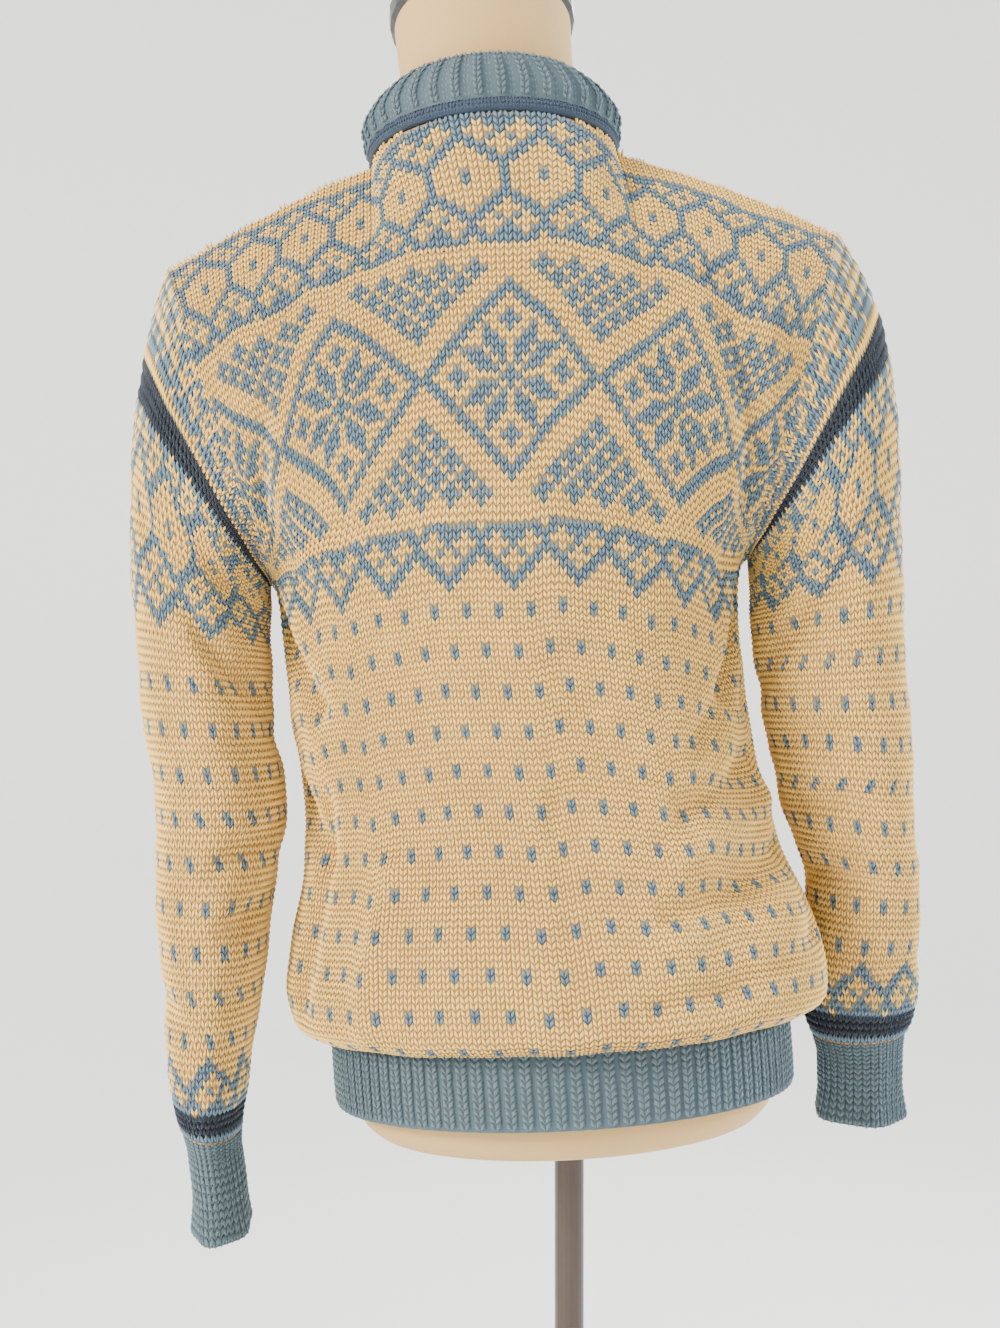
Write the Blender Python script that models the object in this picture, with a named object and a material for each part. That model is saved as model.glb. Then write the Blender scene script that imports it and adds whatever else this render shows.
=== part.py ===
"""A knit cardigan with a ribbed hem, cuffs and collar, closed on a limbless dress form and its stand.

Metres, +Z up. The origin is on the floor under the pole. The wearer's back faces -Y and the front +Y.
"""

import math

import bpy
import numpy as np

# Cloth
WALL = 0.0022
COLLAR_WALL = 0.0050
SEAM = 0.0003
RIB_RISE = 0.0012
# How much of the wall lies behind the furrows of a rib: hem, cuffs and bands
HEM_BACKING = 0.7
CUFF_BACKING = 0.8
BAND_BACKING = 0.9

# Ribs in each ribbed piece, two points to a rib
HEM_RIBS = 90
CUFF_RIBS = 32
COLLAR_RIBS = 36

# Faces along and across the plain panels. The armhole's rows are also the sleeve's columns
ARMHOLE_ROWS = 10
NECK_COLUMNS = 6
SHOULDER_COLUMNS = 6
SLEEVE_ROWS = 17
SLEEVE_TOP_DEPTH = 0.072
SLEEVE_TOP_BLEND = 0.10
LOWER_ROWS = (0.0, 0.012, 0.030, 0.052, 0.088, 0.130, 0.180, 0.245)

# The knitted length from the rib to the shoulder, half the back's width round the body, the row where the
# armhole starts and the row where the rows begin to bend towards the shoulder line
PANEL_LENGTH = 0.612
HALF_GIRTH = 0.23
ARMPIT_ROW = 0.310
DEVIATION_ROW = 0.400

# The neck opening and the shoulder line, before the form leans
NECK_HALF_WIDTH = 0.078
NECK_SHARE = 0.36
NECK_SIDE_HEIGHT = 1.448
NECK_BACK_HEIGHT = 1.460
NECK_BACK_DEPTH = 0.060
NECK_FRONT_HEIGHT = 1.388
NECK_FRONT_DEPTH = 0.074
SHOULDER_TIP = (0.219, 0.0, 1.386)
SHOULDER_CROWN = 0.004

# The hem rib and the two front bands
HEM_HEIGHT = 0.845
RIB_TOP = 0.9035
BAND_HALF_WIDTH = 0.015
BESIDE_BAND = BAND_HALF_WIDTH + 2 * SEAM
BAND_LIFT = 0.0004
HEM_HALF_WIDTH = 0.1465
HEM_BACK = 0.1065
HEM_FRONT = 0.1110
BUTTON_RADIUS = 0.0075
BUTTON_THICKNESS = 0.0032
BUTTON_HEIGHTS = (0.868, 0.968, 1.068, 1.165, 1.262, 1.358)
BUTTON_SIDES = 12

# The strip and the folded rib at the neck
STRIP_RISE = 0.0075
STRIP_PROUD = 0.0012
COLLAR_RISE = 0.030
NECK_GAP = 0.008
# The collar's outer face: share of its rise, distance out, fullness of its ribs. Then its inner face
COLLAR_OUTER = [(0.00, 0.0020, 0.5), (0.30, 0.0035, 1.0), (0.62, -0.0010, 1.0), (0.90, -0.0090, 0.7),
                (1.00, -0.0135, 0.2)]
COLLAR_INNER = [(0.00, 0.0010), (0.50, -0.0030), (0.97, -0.0105)]

# The stand
POLE_RADIUS = 0.0095
BASE_RADIUS = 0.175
BASE_THICKNESS = 0.014
BASE_EDGE = 0.003
# The cap's profile: height over the neck's top, share of the neck's width
CAP = [(SEAM, 1.0), (0.003, 1.05), (0.011, 1.05), (0.016, 0.90)]
# The neck's top slopes down to the front, from level at the first height to full slope at the second
NECK_SLOPE = 0.40
SLOPE_HEIGHTS = (1.470, 1.532)
FORM_COLUMNS = 28

# The bands below the fronts' fullest part: height, distance from the middle plane
BAND_LOWER = [(0.845, 0.1125), (0.8585, 0.1150), (0.872, 0.118), (0.8835, 0.1235), (0.895, 0.130),
              (0.9075, 0.1355), (0.920, 0.1395)]

# How the whole form leans to one side, by height, and how far its level lines tip
LEAN = [(0.00, 0.000), (0.80, 0.000), (0.845, -0.003), (0.934, -0.010), (1.00, -0.018), (1.10, -0.033),
        (1.16, -0.039), (1.28, -0.041), (1.386, -0.043), (1.46, -0.050), (1.60, -0.062)]
TIP = 0.055

# The middle of the back and of the front: row along the cloth, height, distance from the middle plane
CENTRE_BACK = [(0.000, 0.903, 0.1080), (0.012, 0.893, 0.117), (0.030, 0.901, 0.130), (0.050, 0.920, 0.134),
               (0.080, 0.950, 0.131), (0.130, 0.998, 0.118), (0.180, 1.047, 0.109), (0.240, 1.107, 0.112),
               (0.310, 1.176, 0.122), (0.380, 1.245, 0.129), (0.440, 1.305, 0.126), (0.500, 1.363, 0.110),
               (0.551, 1.408, 0.087), (0.612, 1.460, 0.060)]
CENTRE_FRONT = [(0.000, 0.903, 0.1125), (0.012, 0.893, 0.121), (0.030, 0.901, 0.131), (0.050, 0.920, 0.134),
                (0.080, 0.950, 0.132), (0.130, 0.998, 0.122), (0.180, 1.047, 0.115), (0.240, 1.107, 0.122),
                (0.310, 1.172, 0.134), (0.380, 1.228, 0.131), (0.440, 1.274, 0.121), (0.500, 1.316, 0.107),
                (0.551, 1.350, 0.092), (0.612, 1.388, 0.074)]
# The side seam and, above the armpit, the armhole's edge: row, half width, height, depth, turn of the row
SIDE_EDGE = [(0.000, 0.1480, 0.903, 0.000, 90), (0.012, 0.157, 0.893, 0.000, 90),
             (0.030, 0.170, 0.901, 0.000, 90),
             (0.050, 0.173, 0.920, 0.000, 90), (0.080, 0.168, 0.950, 0.000, 90),
             (0.130, 0.153, 0.998, 0.000, 90),
             (0.180, 0.147, 1.047, 0.000, 90), (0.240, 0.146, 1.107, 0.000, 90),
             (0.290, 0.148, 1.156, 0.000, 90),
             (0.310, 0.150, 1.175, 0.002, 90), (0.360, 0.153, 1.199, 0.048, 80),
             (0.420, 0.168, 1.250, 0.078, 66),
             (0.490, 0.193, 1.322, 0.066, 58), (0.550, 0.208, 1.362, 0.036, 55),
             (0.612, 0.219, 1.386, 0.000, 55)]

# The largest folds of the body: face, across and row at the start, the same at the end, half width, depth
FOLDS = [("back", -0.62, 0.07, -0.50, 0.20, 0.024, -0.0050),
         ("back", -0.34, 0.05, -0.30, 0.24, 0.022, -0.0040),
         ("back", 0.36, 0.06, 0.80, 0.16, 0.022, -0.0060), ("back", 0.44, 0.11, 0.90, 0.22, 0.022, -0.0050),
         ("back", 0.14, 0.05, 0.20, 0.22, 0.024, -0.0035), ("back", -0.86, 0.36, -0.62, 0.30, 0.024, -0.0050),
         ("back", 0.88, 0.36, 0.66, 0.29, 0.022, -0.0050),
         ("front", -0.70, 0.06, -0.56, 0.22, 0.024, -0.0045),
         ("front", 0.42, 0.05, 0.50, 0.20, 0.024, -0.0045), ("front", 0.84, 0.34, 0.52, 0.30, 0.024, -0.0050),
         ("front", -0.84, 0.35, -0.54, 0.29, 0.024, -0.0050)]

# Each sleeve below its armhole, as it hangs: distance out, depth, height, tilt, half across, half deep
SLEEVES = {
    "left": [(0.2355, 0.000, 1.2425, 60, 0.0820, 0.0750), (0.2390, 0.000, 1.2025, 43, 0.0600, 0.0730),
             (0.2385, 0.000, 1.1650, 24, 0.0470, 0.0710), (0.2370, -0.001, 1.1325, 10, 0.0420, 0.0700),
             (0.2345, -0.003, 1.0970, 3, 0.0410, 0.0690), (0.2250, -0.005, 1.0320, 0, 0.0410, 0.0660),
             (0.2285, -0.005, 0.9670, 0, 0.0355, 0.0620), (0.2310, -0.005, 0.9020, 0, 0.0295, 0.0560),
             (0.2325, -0.005, 0.8690, 2, 0.0260, 0.0520), (0.2325, -0.005, 0.8370, 6, 0.0215, 0.0470),
             (0.2310, -0.005, 0.8200, 8, 0.0180, 0.0420)],
    "right": [(0.1625, 0.000, 1.2600, 58, 0.0820, 0.0730), (0.1650, 0.003, 1.2190, 41, 0.0620, 0.0700),
              (0.1670, 0.006, 1.1800, 22, 0.0515, 0.0670), (0.1695, 0.009, 1.1425, 8, 0.0490, 0.0640),
              (0.1735, 0.012, 1.0970, 2, 0.0470, 0.0620), (0.1845, 0.024, 1.0320, -3, 0.0430, 0.0560),
              (0.1985, 0.040, 0.9670, -4, 0.0370, 0.0500), (0.1985, 0.046, 0.9020, 0, 0.0370, 0.0460),
              (0.1980, 0.048, 0.8840, 2, 0.0350, 0.0420), (0.1975, 0.048, 0.8700, 4, 0.0300, 0.0380)],
}
# Each cuff, in the same columns
CUFFS = {
    "left": [(0.2308, -0.005, 0.8195, 8, 0.0172, 0.0410), (0.2290, -0.005, 0.8060, 6, 0.0150, 0.0380),
             (0.2260, -0.005, 0.7820, 2, 0.0150, 0.0380), (0.2240, -0.005, 0.7560, 0, 0.0175, 0.0400)],
    "right": [(0.1976, 0.048, 0.8695, 4, 0.0292, 0.0370), (0.1985, 0.048, 0.8560, 3, 0.0265, 0.0340),
              (0.1985, 0.048, 0.8380, 0, 0.0262, 0.0335), (0.1980, 0.048, 0.8160, 0, 0.0290, 0.0370)],
}
# How far the ribs stand out at each of a cuff's sections
CUFF_FULLNESS = (0.3, 1.0, 1.0, 0.5)
# The dress form: height, half width, back, front, roundness of its section
FORM = [(0.8180, 0.060, 0.045, 0.045, 2.0), (0.8190, 0.105, 0.075, 0.078, 2.0),
        (0.8250, 0.123, 0.087, 0.092, 2.0),
        (0.8380, 0.133, 0.094, 0.099, 2.0), (0.8700, 0.136, 0.097, 0.102, 2.0),
        (0.9300, 0.135, 0.096, 0.101, 2.0),
        (1.0000, 0.122, 0.090, 0.094, 2.0), (1.0600, 0.122, 0.090, 0.094, 2.0),
        (1.1300, 0.130, 0.098, 0.108, 2.0),
        (1.1900, 0.134, 0.104, 0.112, 2.0), (1.2500, 0.138, 0.107, 0.105, 1.9),
        (1.3100, 0.150, 0.101, 0.088, 1.7),
        (1.3500, 0.158, 0.089, 0.072, 1.45), (1.3720, 0.160, 0.078, 0.060, 1.30),
        (1.3900, 0.140, 0.070, 0.052, 1.25),
        (1.4150, 0.1015, 0.0620, 0.0500, 1.40), (1.4350, 0.072, 0.046, 0.044, 1.80),
        (1.4600, 0.058, 0.041, 0.044, 2.0),
        (1.4950, 0.056, 0.043, 0.049, 2.0), (1.5320, 0.057, 0.047, 0.052, 2.0)]

COLOURS = {
    "cream_wool": ((0.80, 0.70, 0.52), 0.85, 0.0),
    "blue_wool": ((0.22, 0.36, 0.44), 0.85, 0.0),
    "navy_wool": ((0.04, 0.07, 0.13), 0.85, 0.0),
    "button_plastic": ((0.30, 0.36, 0.40), 0.40, 0.0),
    "form_jersey": ((0.86, 0.80, 0.70), 0.80, 0.0),
    "black_wood": ((0.03, 0.03, 0.03), 0.40, 0.0),
    "bronze_steel": ((0.07, 0.055, 0.045), 0.35, 0.9),
}


def smooth(table, column, at):
    """The value of one column of a table along its first, on a smooth curve that stays between its rows."""
    rows = np.array([[row[0], row[column]] for row in table], float)
    keys, values = rows[:, 0], rows[:, 1]
    step = np.diff(values) / np.diff(keys)
    slopes = np.zeros_like(values)
    slopes[0], slopes[-1] = step[0], step[-1]
    same_way = step[1:] * step[:-1] > 0
    both = np.where(same_way, step[1:] + step[:-1], 1)
    slopes[1:-1] = np.where(same_way, 2 * step[1:] * step[:-1] / both, 0)
    at = np.clip(np.asarray(at, float), keys[0], keys[-1])
    spot = np.clip(np.searchsorted(keys, at) - 1, 0, len(keys) - 2)
    gap = keys[spot + 1] - keys[spot]
    t = (at - keys[spot]) / gap
    start = (2 * t**3 - 3 * t**2 + 1) * values[spot] + (t**3 - 2 * t**2 + t) * gap * slopes[spot]
    end = (3 * t**2 - 2 * t**3) * values[spot + 1] + (t**3 - t**2) * gap * slopes[spot + 1]
    return start + end


def unit(vectors):
    return vectors / np.linalg.norm(vectors, axis=-1, keepdims=True)


def leaned(points):
    """Points of the upright body, moved as the form leans on its pole."""
    out = np.array(points, float)
    out[..., 0] += smooth(LEAN, 1, points[..., 2])
    out[..., 2] += points[..., 0] * TIP
    return out


def row_shape(across, row, centre):
    """A row from the middle, across 0, to the side edge, across 1: part of an ellipse seen from above."""
    turn = np.radians(smooth(SIDE_EDGE, 4, row))
    angle = across * turn
    middle = smooth(centre, 2, row)
    edge_depth = smooth(SIDE_EDGE, 3, row)
    share = (np.cos(angle) - np.cos(turn)) / (1 - np.cos(turn))
    x = smooth(SIDE_EDGE, 1, row) * np.sin(angle) / np.sin(turn)
    y = edge_depth + (middle - edge_depth) * share
    low = smooth(centre, 1, row)
    z = low + (smooth(SIDE_EDGE, 2, row) - low) * across**1.6
    return np.stack([x, y, z], axis=-1)


def top_edge(across, height, depth):
    """The neck edge from the middle, then the shoulder seam out to the tip."""
    round_neck = np.clip(across / NECK_SHARE, 0, 1) * math.pi / 2
    out = np.clip((across - NECK_SHARE) / (1 - NECK_SHARE), 0, 1)
    x = NECK_HALF_WIDTH * np.sin(round_neck) + (SHOULDER_TIP[0] - NECK_HALF_WIDTH) * out
    y = depth * np.cos(round_neck)
    z = height + (NECK_SIDE_HEIGHT - height) * (1 - np.cos(round_neck))
    z = z + (SHOULDER_TIP[2] - NECK_SIDE_HEIGHT) * out + SHOULDER_CROWN * np.sin(math.pi * out)
    return np.stack([x, y, z], axis=-1)


def fold_depth(face, across, row):
    """How far the folds of one face move its cloth in or out."""
    total = np.zeros(np.broadcast(across, row).shape)
    for side, across_0, row_0, across_1, row_1, width, depth in FOLDS:
        if side != face:
            continue
        x, y = across * HALF_GIRTH, row
        start = np.array([across_0 * HALF_GIRTH, row_0])
        along = np.array([across_1 * HALF_GIRTH, row_1]) - start
        share = np.clip(((x - start[0]) * along[0] + (y - start[1]) * along[1]) / (along @ along), 0, 1)
        away = np.hypot(x - start[0] - share * along[0], y - start[1] - share * along[1])
        total = total + depth * np.exp(-((away / width) ** 2))
    return total


def body(face, across, row):
    """A point of the body's cloth, before folds and lean. across runs from -1 to 1 over the whole face."""
    across, row = np.broadcast_arrays(np.asarray(across, float), np.asarray(row, float))
    centre = CENTRE_BACK if face == "back" else CENTRE_FRONT
    height, depth = (centre[-1][1], centre[-1][2])
    size = np.abs(across)
    points = row_shape(size, row, centre)
    full = np.full_like(row, PANEL_LENGTH)
    near_top = np.clip((row - DEVIATION_ROW) / (PANEL_LENGTH - DEVIATION_ROW), 0, 1) ** 2
    points = points + near_top[..., None] * (top_edge(size, height, depth) - row_shape(size, full, centre))
    points[..., 0] *= np.sign(across)
    points[..., 1] *= -1 if face == "back" else 1
    return points


def face_normal(face, across, row):
    """The outward direction of the body's cloth."""
    step = 0.002
    across, row = np.broadcast_arrays(np.asarray(across, float), np.asarray(row, float))
    left = body(face, np.clip(across - step, -1, 1), row)
    right = body(face, np.clip(across + step, -1, 1), row)
    low = body(face, across, np.clip(row - step, 0, PANEL_LENGTH))
    high = body(face, across, np.clip(row + step, 0, PANEL_LENGTH))
    normal = np.cross(right - left, high - low)
    return unit(normal if face == "back" else -normal)


def body_normal(face, across, row):
    """The same, shared by the front and the back along the shoulder seam so that their walls meet."""
    other = "front" if face == "back" else "back"
    own = face_normal(face, across, row)
    shared = unit(own + face_normal(other, across, row))
    on_seam = (np.asarray(row) > PANEL_LENGTH - 0.001) & (np.abs(across) > NECK_SHARE * 0.9)
    return np.where(np.broadcast_to(on_seam, own.shape[:-1])[..., None], shared, own)


def fade(face, across, row):
    """Folds die away at the edges of a panel, where it is sewn."""
    side = np.clip((1 - np.abs(across)) / 0.10, 0, 1)
    ends = np.clip(row / 0.03, 0, 1) * np.clip((PANEL_LENGTH - row) / 0.05, 0, 1)
    middle = np.clip((np.abs(across) - 0.07) / 0.06, 0, 1) if face == "front" else 1.0
    return side * ends * middle


def panel_grids(face, across, rows):
    """The outer and inner points of a panel, one row of points for each row of cloth."""
    across, rows = np.meshgrid(across, rows)
    points = body(face, across, rows)
    normals = body_normal(face, across, rows)
    lift = fold_depth(face, across, rows) * fade(face, across, rows)
    outer = points + normals * lift[..., None]
    return leaned(outer), leaned(outer - normals * WALL)


def mesh_object(name, points, faces, material):
    """One closed mesh, turned so that its faces point out."""
    corners = np.array([[points[f[0]], points[f[i]], points[f[i + 1]]]
                        for f in faces for i in range(1, len(f) - 1)])
    if np.linalg.det(corners - points.mean(axis=0)).sum() < 0:
        faces = [tuple(reversed(f)) for f in faces]
    mesh = bpy.data.meshes.new(name)
    mesh.from_pydata([tuple(map(float, p)) for p in points], [], [tuple(map(int, f)) for f in faces])
    mesh.validate()
    mesh.shade_smooth()
    mesh.set_sharp_from_angle(angle=math.radians(50))
    mesh.materials.append(material)
    made = bpy.data.objects.new(name, mesh)
    bpy.context.scene.collection.objects.link(made)
    return made


def grid_faces(first, rows, columns, span):
    """The faces of a grid of points, row by row, where span is the number of faces in a row."""
    faces = []
    for r in range(rows - 1):
        for c in range(span):
            a, b = first + r * columns + c, first + r * columns + (c + 1) % columns
            faces.append((a, b, b + columns, a + columns))
    return faces


def wall(name, outer, inner, material, ring=False):
    """A closed wall between two grids of points with the same columns. A ring is joined round its columns."""
    columns = outer.shape[1]
    points = np.concatenate([outer.reshape(-1, 3), inner.reshape(-1, 3)])
    inside = len(outer) * columns
    last_out, last_in = inside - columns, len(points) - columns
    span = columns if ring else columns - 1
    faces = grid_faces(0, len(outer), columns, span)
    faces += [tuple(reversed(face)) for face in grid_faces(inside, len(inner), columns, span)]
    for c in range(span):
        d = (c + 1) % columns
        faces.append((c, inside + c, inside + d, d))
        faces.append((last_out + c, last_out + d, last_in + d, last_in + c))
    if not ring:
        faces += side_faces(0, columns, len(outer), len(inner), inside)
        far = side_faces(columns - 1, columns, len(outer), len(inner), inside)
        faces += [tuple(reversed(face)) for face in far]
    return mesh_object(name, points, faces, material)


def side_faces(column, columns, outer_rows, inner_rows, inside):
    """The faces that close one side of a wall, by four corners, or by one face where the rows differ."""
    out = [r * columns + column for r in range(outer_rows)]
    back = [inside + r * columns + column for r in range(inner_rows)]
    if outer_rows != inner_rows:
        return [tuple(out + back[::-1])]
    return [(out[r], out[r + 1], back[r + 1], back[r]) for r in range(outer_rows - 1)]


def solid_of_rings(name, rings, material):
    """A closed solid through rings of equal count, its two ends covered by flat faces."""
    count = len(rings[0])
    points = np.concatenate(rings)
    faces = []
    for r in range(len(rings) - 1):
        for c in range(count):
            a, b = r * count + c, r * count + (c + 1) % count
            faces.append((a, b, b + count, a + count))
    last = (len(rings) - 1) * count
    faces.append(tuple(reversed(range(count))))
    faces.append(tuple(range(last, last + count)))
    return mesh_object(name, points, faces, material)


def make_material(name):
    colour, roughness, metallic = COLOURS[name]
    material = bpy.data.materials.new(name)
    material.use_nodes = True
    shader = material.node_tree.nodes["Principled BSDF"]
    shader.inputs["Base Color"].default_value = (*colour, 1)
    shader.inputs["Roughness"].default_value = roughness
    shader.inputs["Metallic"].default_value = metallic
    material.diffuse_color = (*colour, 1)
    return material


def rib_rise(points):
    """The height of each point along a ribbed edge: low in each furrow, full on each rib."""
    return RIB_RISE * (np.arange(points) % 2)


def armhole_rows():
    """The rows of the armhole's edge, from the armpit to the shoulder tip."""
    return np.linspace(ARMPIT_ROW, PANEL_LENGTH - SEAM * 0.7, ARMHOLE_ROWS + 1)


def make_panels(wool):
    edge = 1 - SEAM / (2 * HALF_GIRTH)
    rows = np.concatenate([LOWER_ROWS, armhole_rows()])
    neck = np.linspace(0, NECK_SHARE, NECK_COLUMNS + 1)
    shoulder = np.linspace(NECK_SHARE, edge, SHOULDER_COLUMNS + 1)[1:]
    half = np.concatenate([neck, shoulder])
    across = np.concatenate([-half[:0:-1], half])
    wall("back", *panel_grids("back", across, rows), wool)
    for name, side in (("left_front", -1), ("right_front", 1)):
        beside_band = math.asin(BESIDE_BAND / NECK_HALF_WIDTH) / (math.pi / 2) * NECK_SHARE
        across = side * np.concatenate([[beside_band], half[2:]])
        outer, inner = panel_grids("front", across, rows)
        outer, inner = straight_edge(outer, inner, side)
        wall(name, outer, inner, wool)


def straight_edge(outer, inner, side):
    """The first column of a front runs straight beside the front band."""
    for grid in (outer, inner):
        height = grid[:, 0, 2]
        grid[:, 0, 0] = smooth(LEAN, 1, height) + side * BESIDE_BAND
    return outer, inner


def hem_line(angle, rise, out=0.0):
    """A point of the ribbed hem: angle 0 at the middle of the front, growing towards the wearer's right."""
    x = (HEM_HALF_WIDTH + out) * np.sin(angle)
    front = np.cos(angle) > 0
    depth = np.where(front, HEM_FRONT, HEM_BACK) + out
    return np.stack([x, depth * np.cos(angle), np.broadcast_to(HEM_HEIGHT + rise, x.shape)], axis=-1)


def make_hem(wool):
    count = 2 * HEM_RIBS + 1
    gap = BESIDE_BAND / HEM_HALF_WIDTH
    angles = np.linspace(gap, 2 * math.pi - gap, count)
    rise = rib_rise(count)
    heights = [0.0, 0.030, RIB_TOP - HEM_HEIGHT]
    fullness = [0.35, 1.0, 0.3]
    outer = np.stack([hem_line(angles, h, rise * f) for h, f in zip(heights, fullness)])
    inner = np.stack([hem_line(angles, h, -WALL * HEM_BACKING) for h in (heights[0], heights[-1])])
    for grid in (outer, inner):
        grid[:, 0, 0] = BESIDE_BAND
        grid[:, -1, 0] = -BESIDE_BAND
    wall("hem_rib", leaned(outer), leaned(inner), wool)


def armhole(side):
    """The armhole's edge and its direction out, from the shoulder tip down by the back and up by the front."""
    down = armhole_rows()[::-1]
    row = np.concatenate([down, down[-2:0:-1]])
    by_back = np.arange(len(row)) <= ARMHOLE_ROWS
    share = (down[0] - row) / (down[0] - ARMPIT_ROW)
    edge = np.full_like(row, side)
    points = np.where(by_back[:, None], body("back", edge, row), body("front", edge, row))
    normals = np.where(by_back[:, None], body_normal("back", edge, row), body_normal("front", edge, row))
    return points, normals, share


def ellipse_ring(side, section, angle):
    out, depth, height, tilt, half_across, half_deep = section
    tilt = math.radians(tilt)
    across = np.array([side * math.cos(tilt), 0, math.sin(tilt)])
    centre = np.array([side * out, depth, height])
    back = np.array([0, -1, 0])
    return centre + half_across * np.cos(angle)[:, None] * across + half_deep * np.sin(angle)[:, None] * back


def sections_between(table, count):
    """Sections at even steps along a sleeve, read from a smooth curve through its table."""
    spots = np.array([[row[0], row[1], row[2]] for row in table])
    run = np.concatenate([[0], np.cumsum(np.linalg.norm(np.diff(spots, axis=0), axis=1))])
    keyed = [(distance, *row) for distance, row in zip(run, table)]
    places = np.linspace(0, run[-1], count)
    return [tuple(float(smooth(keyed, column, place)) for column in range(1, 7)) for place in places], places


def sleeve_grids(name, angle):
    side = -1 if name == "left" else 1
    edge, edge_normals, share = armhole(side)
    start = leaned(edge)
    tip, pit = start[share.argmin()], start[share.argmax()]
    middle = (tip + pit) / 2
    reach = tip - pit
    first = (side * middle[0], 0.0, middle[2], math.degrees(math.atan2(reach[2], side * reach[0])),
             np.linalg.norm(reach) / 2, SLEEVE_TOP_DEPTH)
    table = [first] + SLEEVES[name]
    sections, places = sections_between(table, SLEEVE_ROWS + 1)
    rings = [ellipse_ring(side, section, angle) for section in sections]
    shift = start - rings[0]
    rings = [ring + shift * max(0.0, 1 - place / SLEEVE_TOP_BLEND) ** 2 for ring, place in zip(rings, places)]
    outer = np.stack(rings)
    around = np.roll(outer, -1, axis=1) - np.roll(outer, 1, axis=1)
    down = np.gradient(outer, axis=0)
    normals = unit(np.cross(around, down))
    centres = outer.mean(axis=1, keepdims=True)
    if ((outer - centres) * normals).sum() < 0:
        normals = -normals
    under = np.clip((share - 0.72) / 0.2, 0, 1)[:, None]
    normals[0] = unit((1 - under) * edge_normals + under * np.array([0, 0, -1.0]))
    sewn = unit(outer[1] - outer[0]) * SEAM * 1.2
    outer[0] += sewn
    return outer, outer - normals * WALL


def make_sleeves(wool, rib):
    angle = np.arange(2 * ARMHOLE_ROWS) / ARMHOLE_ROWS * math.pi
    for name in ("left", "right"):
        outer, inner = sleeve_grids(name, angle)
        wall(name + "_sleeve", outer, inner, wool, ring=True)
        make_cuff(name, rib)


def make_cuff(name, rib):
    side = -1 if name == "left" else 1
    count = 2 * CUFF_RIBS
    angle = np.arange(count) / count * 2 * math.pi
    rise = rib_rise(count)
    outer = []
    inner = []
    for section, full in zip(CUFFS[name], CUFF_FULLNESS):
        ring = ellipse_ring(side, section, angle)
        away = unit(ring - ring.mean(axis=0))
        outer.append(ring + away * (rise * full)[:, None])
        inner.append(ring - away * WALL * CUFF_BACKING)
    wall(name + "_cuff", np.stack(outer), np.stack(inner), rib, ring=True)


def neck_ring(angle, rise, out, proud=0.0):
    """The neck edge, in the panels' straight steps: angle 0 at the front's middle, half a turn at the back.

    out moves it outwards at the sides and half as far at the front and the back, and proud moves it evenly.
    """
    knots = np.linspace(0, 2 * math.pi, 4 * NECK_COLUMNS + 1)
    front = np.cos(knots) > 0
    depth = np.where(front, NECK_FRONT_DEPTH, NECK_BACK_DEPTH)
    height = np.where(front, NECK_FRONT_HEIGHT, NECK_BACK_HEIGHT)
    z = height + (NECK_SIDE_HEIGHT - height) * (1 - np.abs(np.cos(knots)))
    x = np.interp(angle, knots, NECK_HALF_WIDTH * np.sin(knots)) + (out + proud) * np.sin(angle)
    y = np.interp(angle, knots, depth * np.cos(knots)) + (out / 2 + proud) * np.cos(angle)
    return np.stack([x, y, np.interp(angle, knots, z) + rise], axis=-1)


def make_strip(navy):
    """The dark strip between the body and the collar, rounded outwards."""
    angle = np.linspace(NECK_GAP, 2 * math.pi - NECK_GAP, 4 * NECK_COLUMNS + 1)
    low = 2 * SEAM
    profile = [(low, 0.5), (low + STRIP_RISE / 2, 2.0), (low + STRIP_RISE, 0.5)]
    outer = np.stack([neck_ring(angle, rise, 0.0, STRIP_PROUD * proud) for rise, proud in profile])
    inner = np.stack([neck_ring(angle, rise, 0.0, -WALL) for rise in (low, low + STRIP_RISE)])
    wall("collar_strip", leaned(outer), leaned(inner), navy)


def make_collar(rib):
    """The ribbed collar, folded double, so that its wall is thick below and rounded at the fold."""
    angle = np.linspace(NECK_GAP, 2 * math.pi - NECK_GAP, 2 * COLLAR_RIBS + 1)
    ribs = rib_rise(len(angle))
    base = 2 * SEAM + STRIP_RISE + SEAM
    outer = [neck_ring(angle, base + COLLAR_RISE * share, out, ribs * full)
             for share, out, full in COLLAR_OUTER]
    inner = [neck_ring(angle, base + COLLAR_RISE * share, out - COLLAR_WALL) for share, out in COLLAR_INNER]
    wall("collar", leaned(np.stack(outer)), leaned(np.stack(inner)), rib)


def band_heights():
    """The heights of the bands' rows. Above the hem they are those of the fronts beside them."""
    rows = np.concatenate([LOWER_ROWS, armhole_rows()])
    beside = smooth(CENTRE_FRONT, 1, rows)
    upper = beside[beside > BAND_LOWER[-1][0] + 0.010]
    return np.concatenate([[row[0] for row in BAND_LOWER], upper[:-1], [NECK_FRONT_HEIGHT - 0.0005]])


def band_line(height, offset):
    """The middle of the front band at a height, and its direction out."""
    upper = [(z, y) for _, z, y in CENTRE_FRONT if z > BAND_LOWER[-1][0] + 0.010]
    table = BAND_LOWER + upper
    depth = smooth(table, 1, height)
    slope = (smooth(table, 1, height + 0.002) - smooth(table, 1, height - 0.002)) / 0.004
    normal = unit(np.stack([np.zeros_like(slope), np.ones_like(slope), -slope], axis=-1))
    point = np.stack([np.zeros_like(depth), depth, height], axis=-1)
    return point + normal * offset, normal


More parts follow.
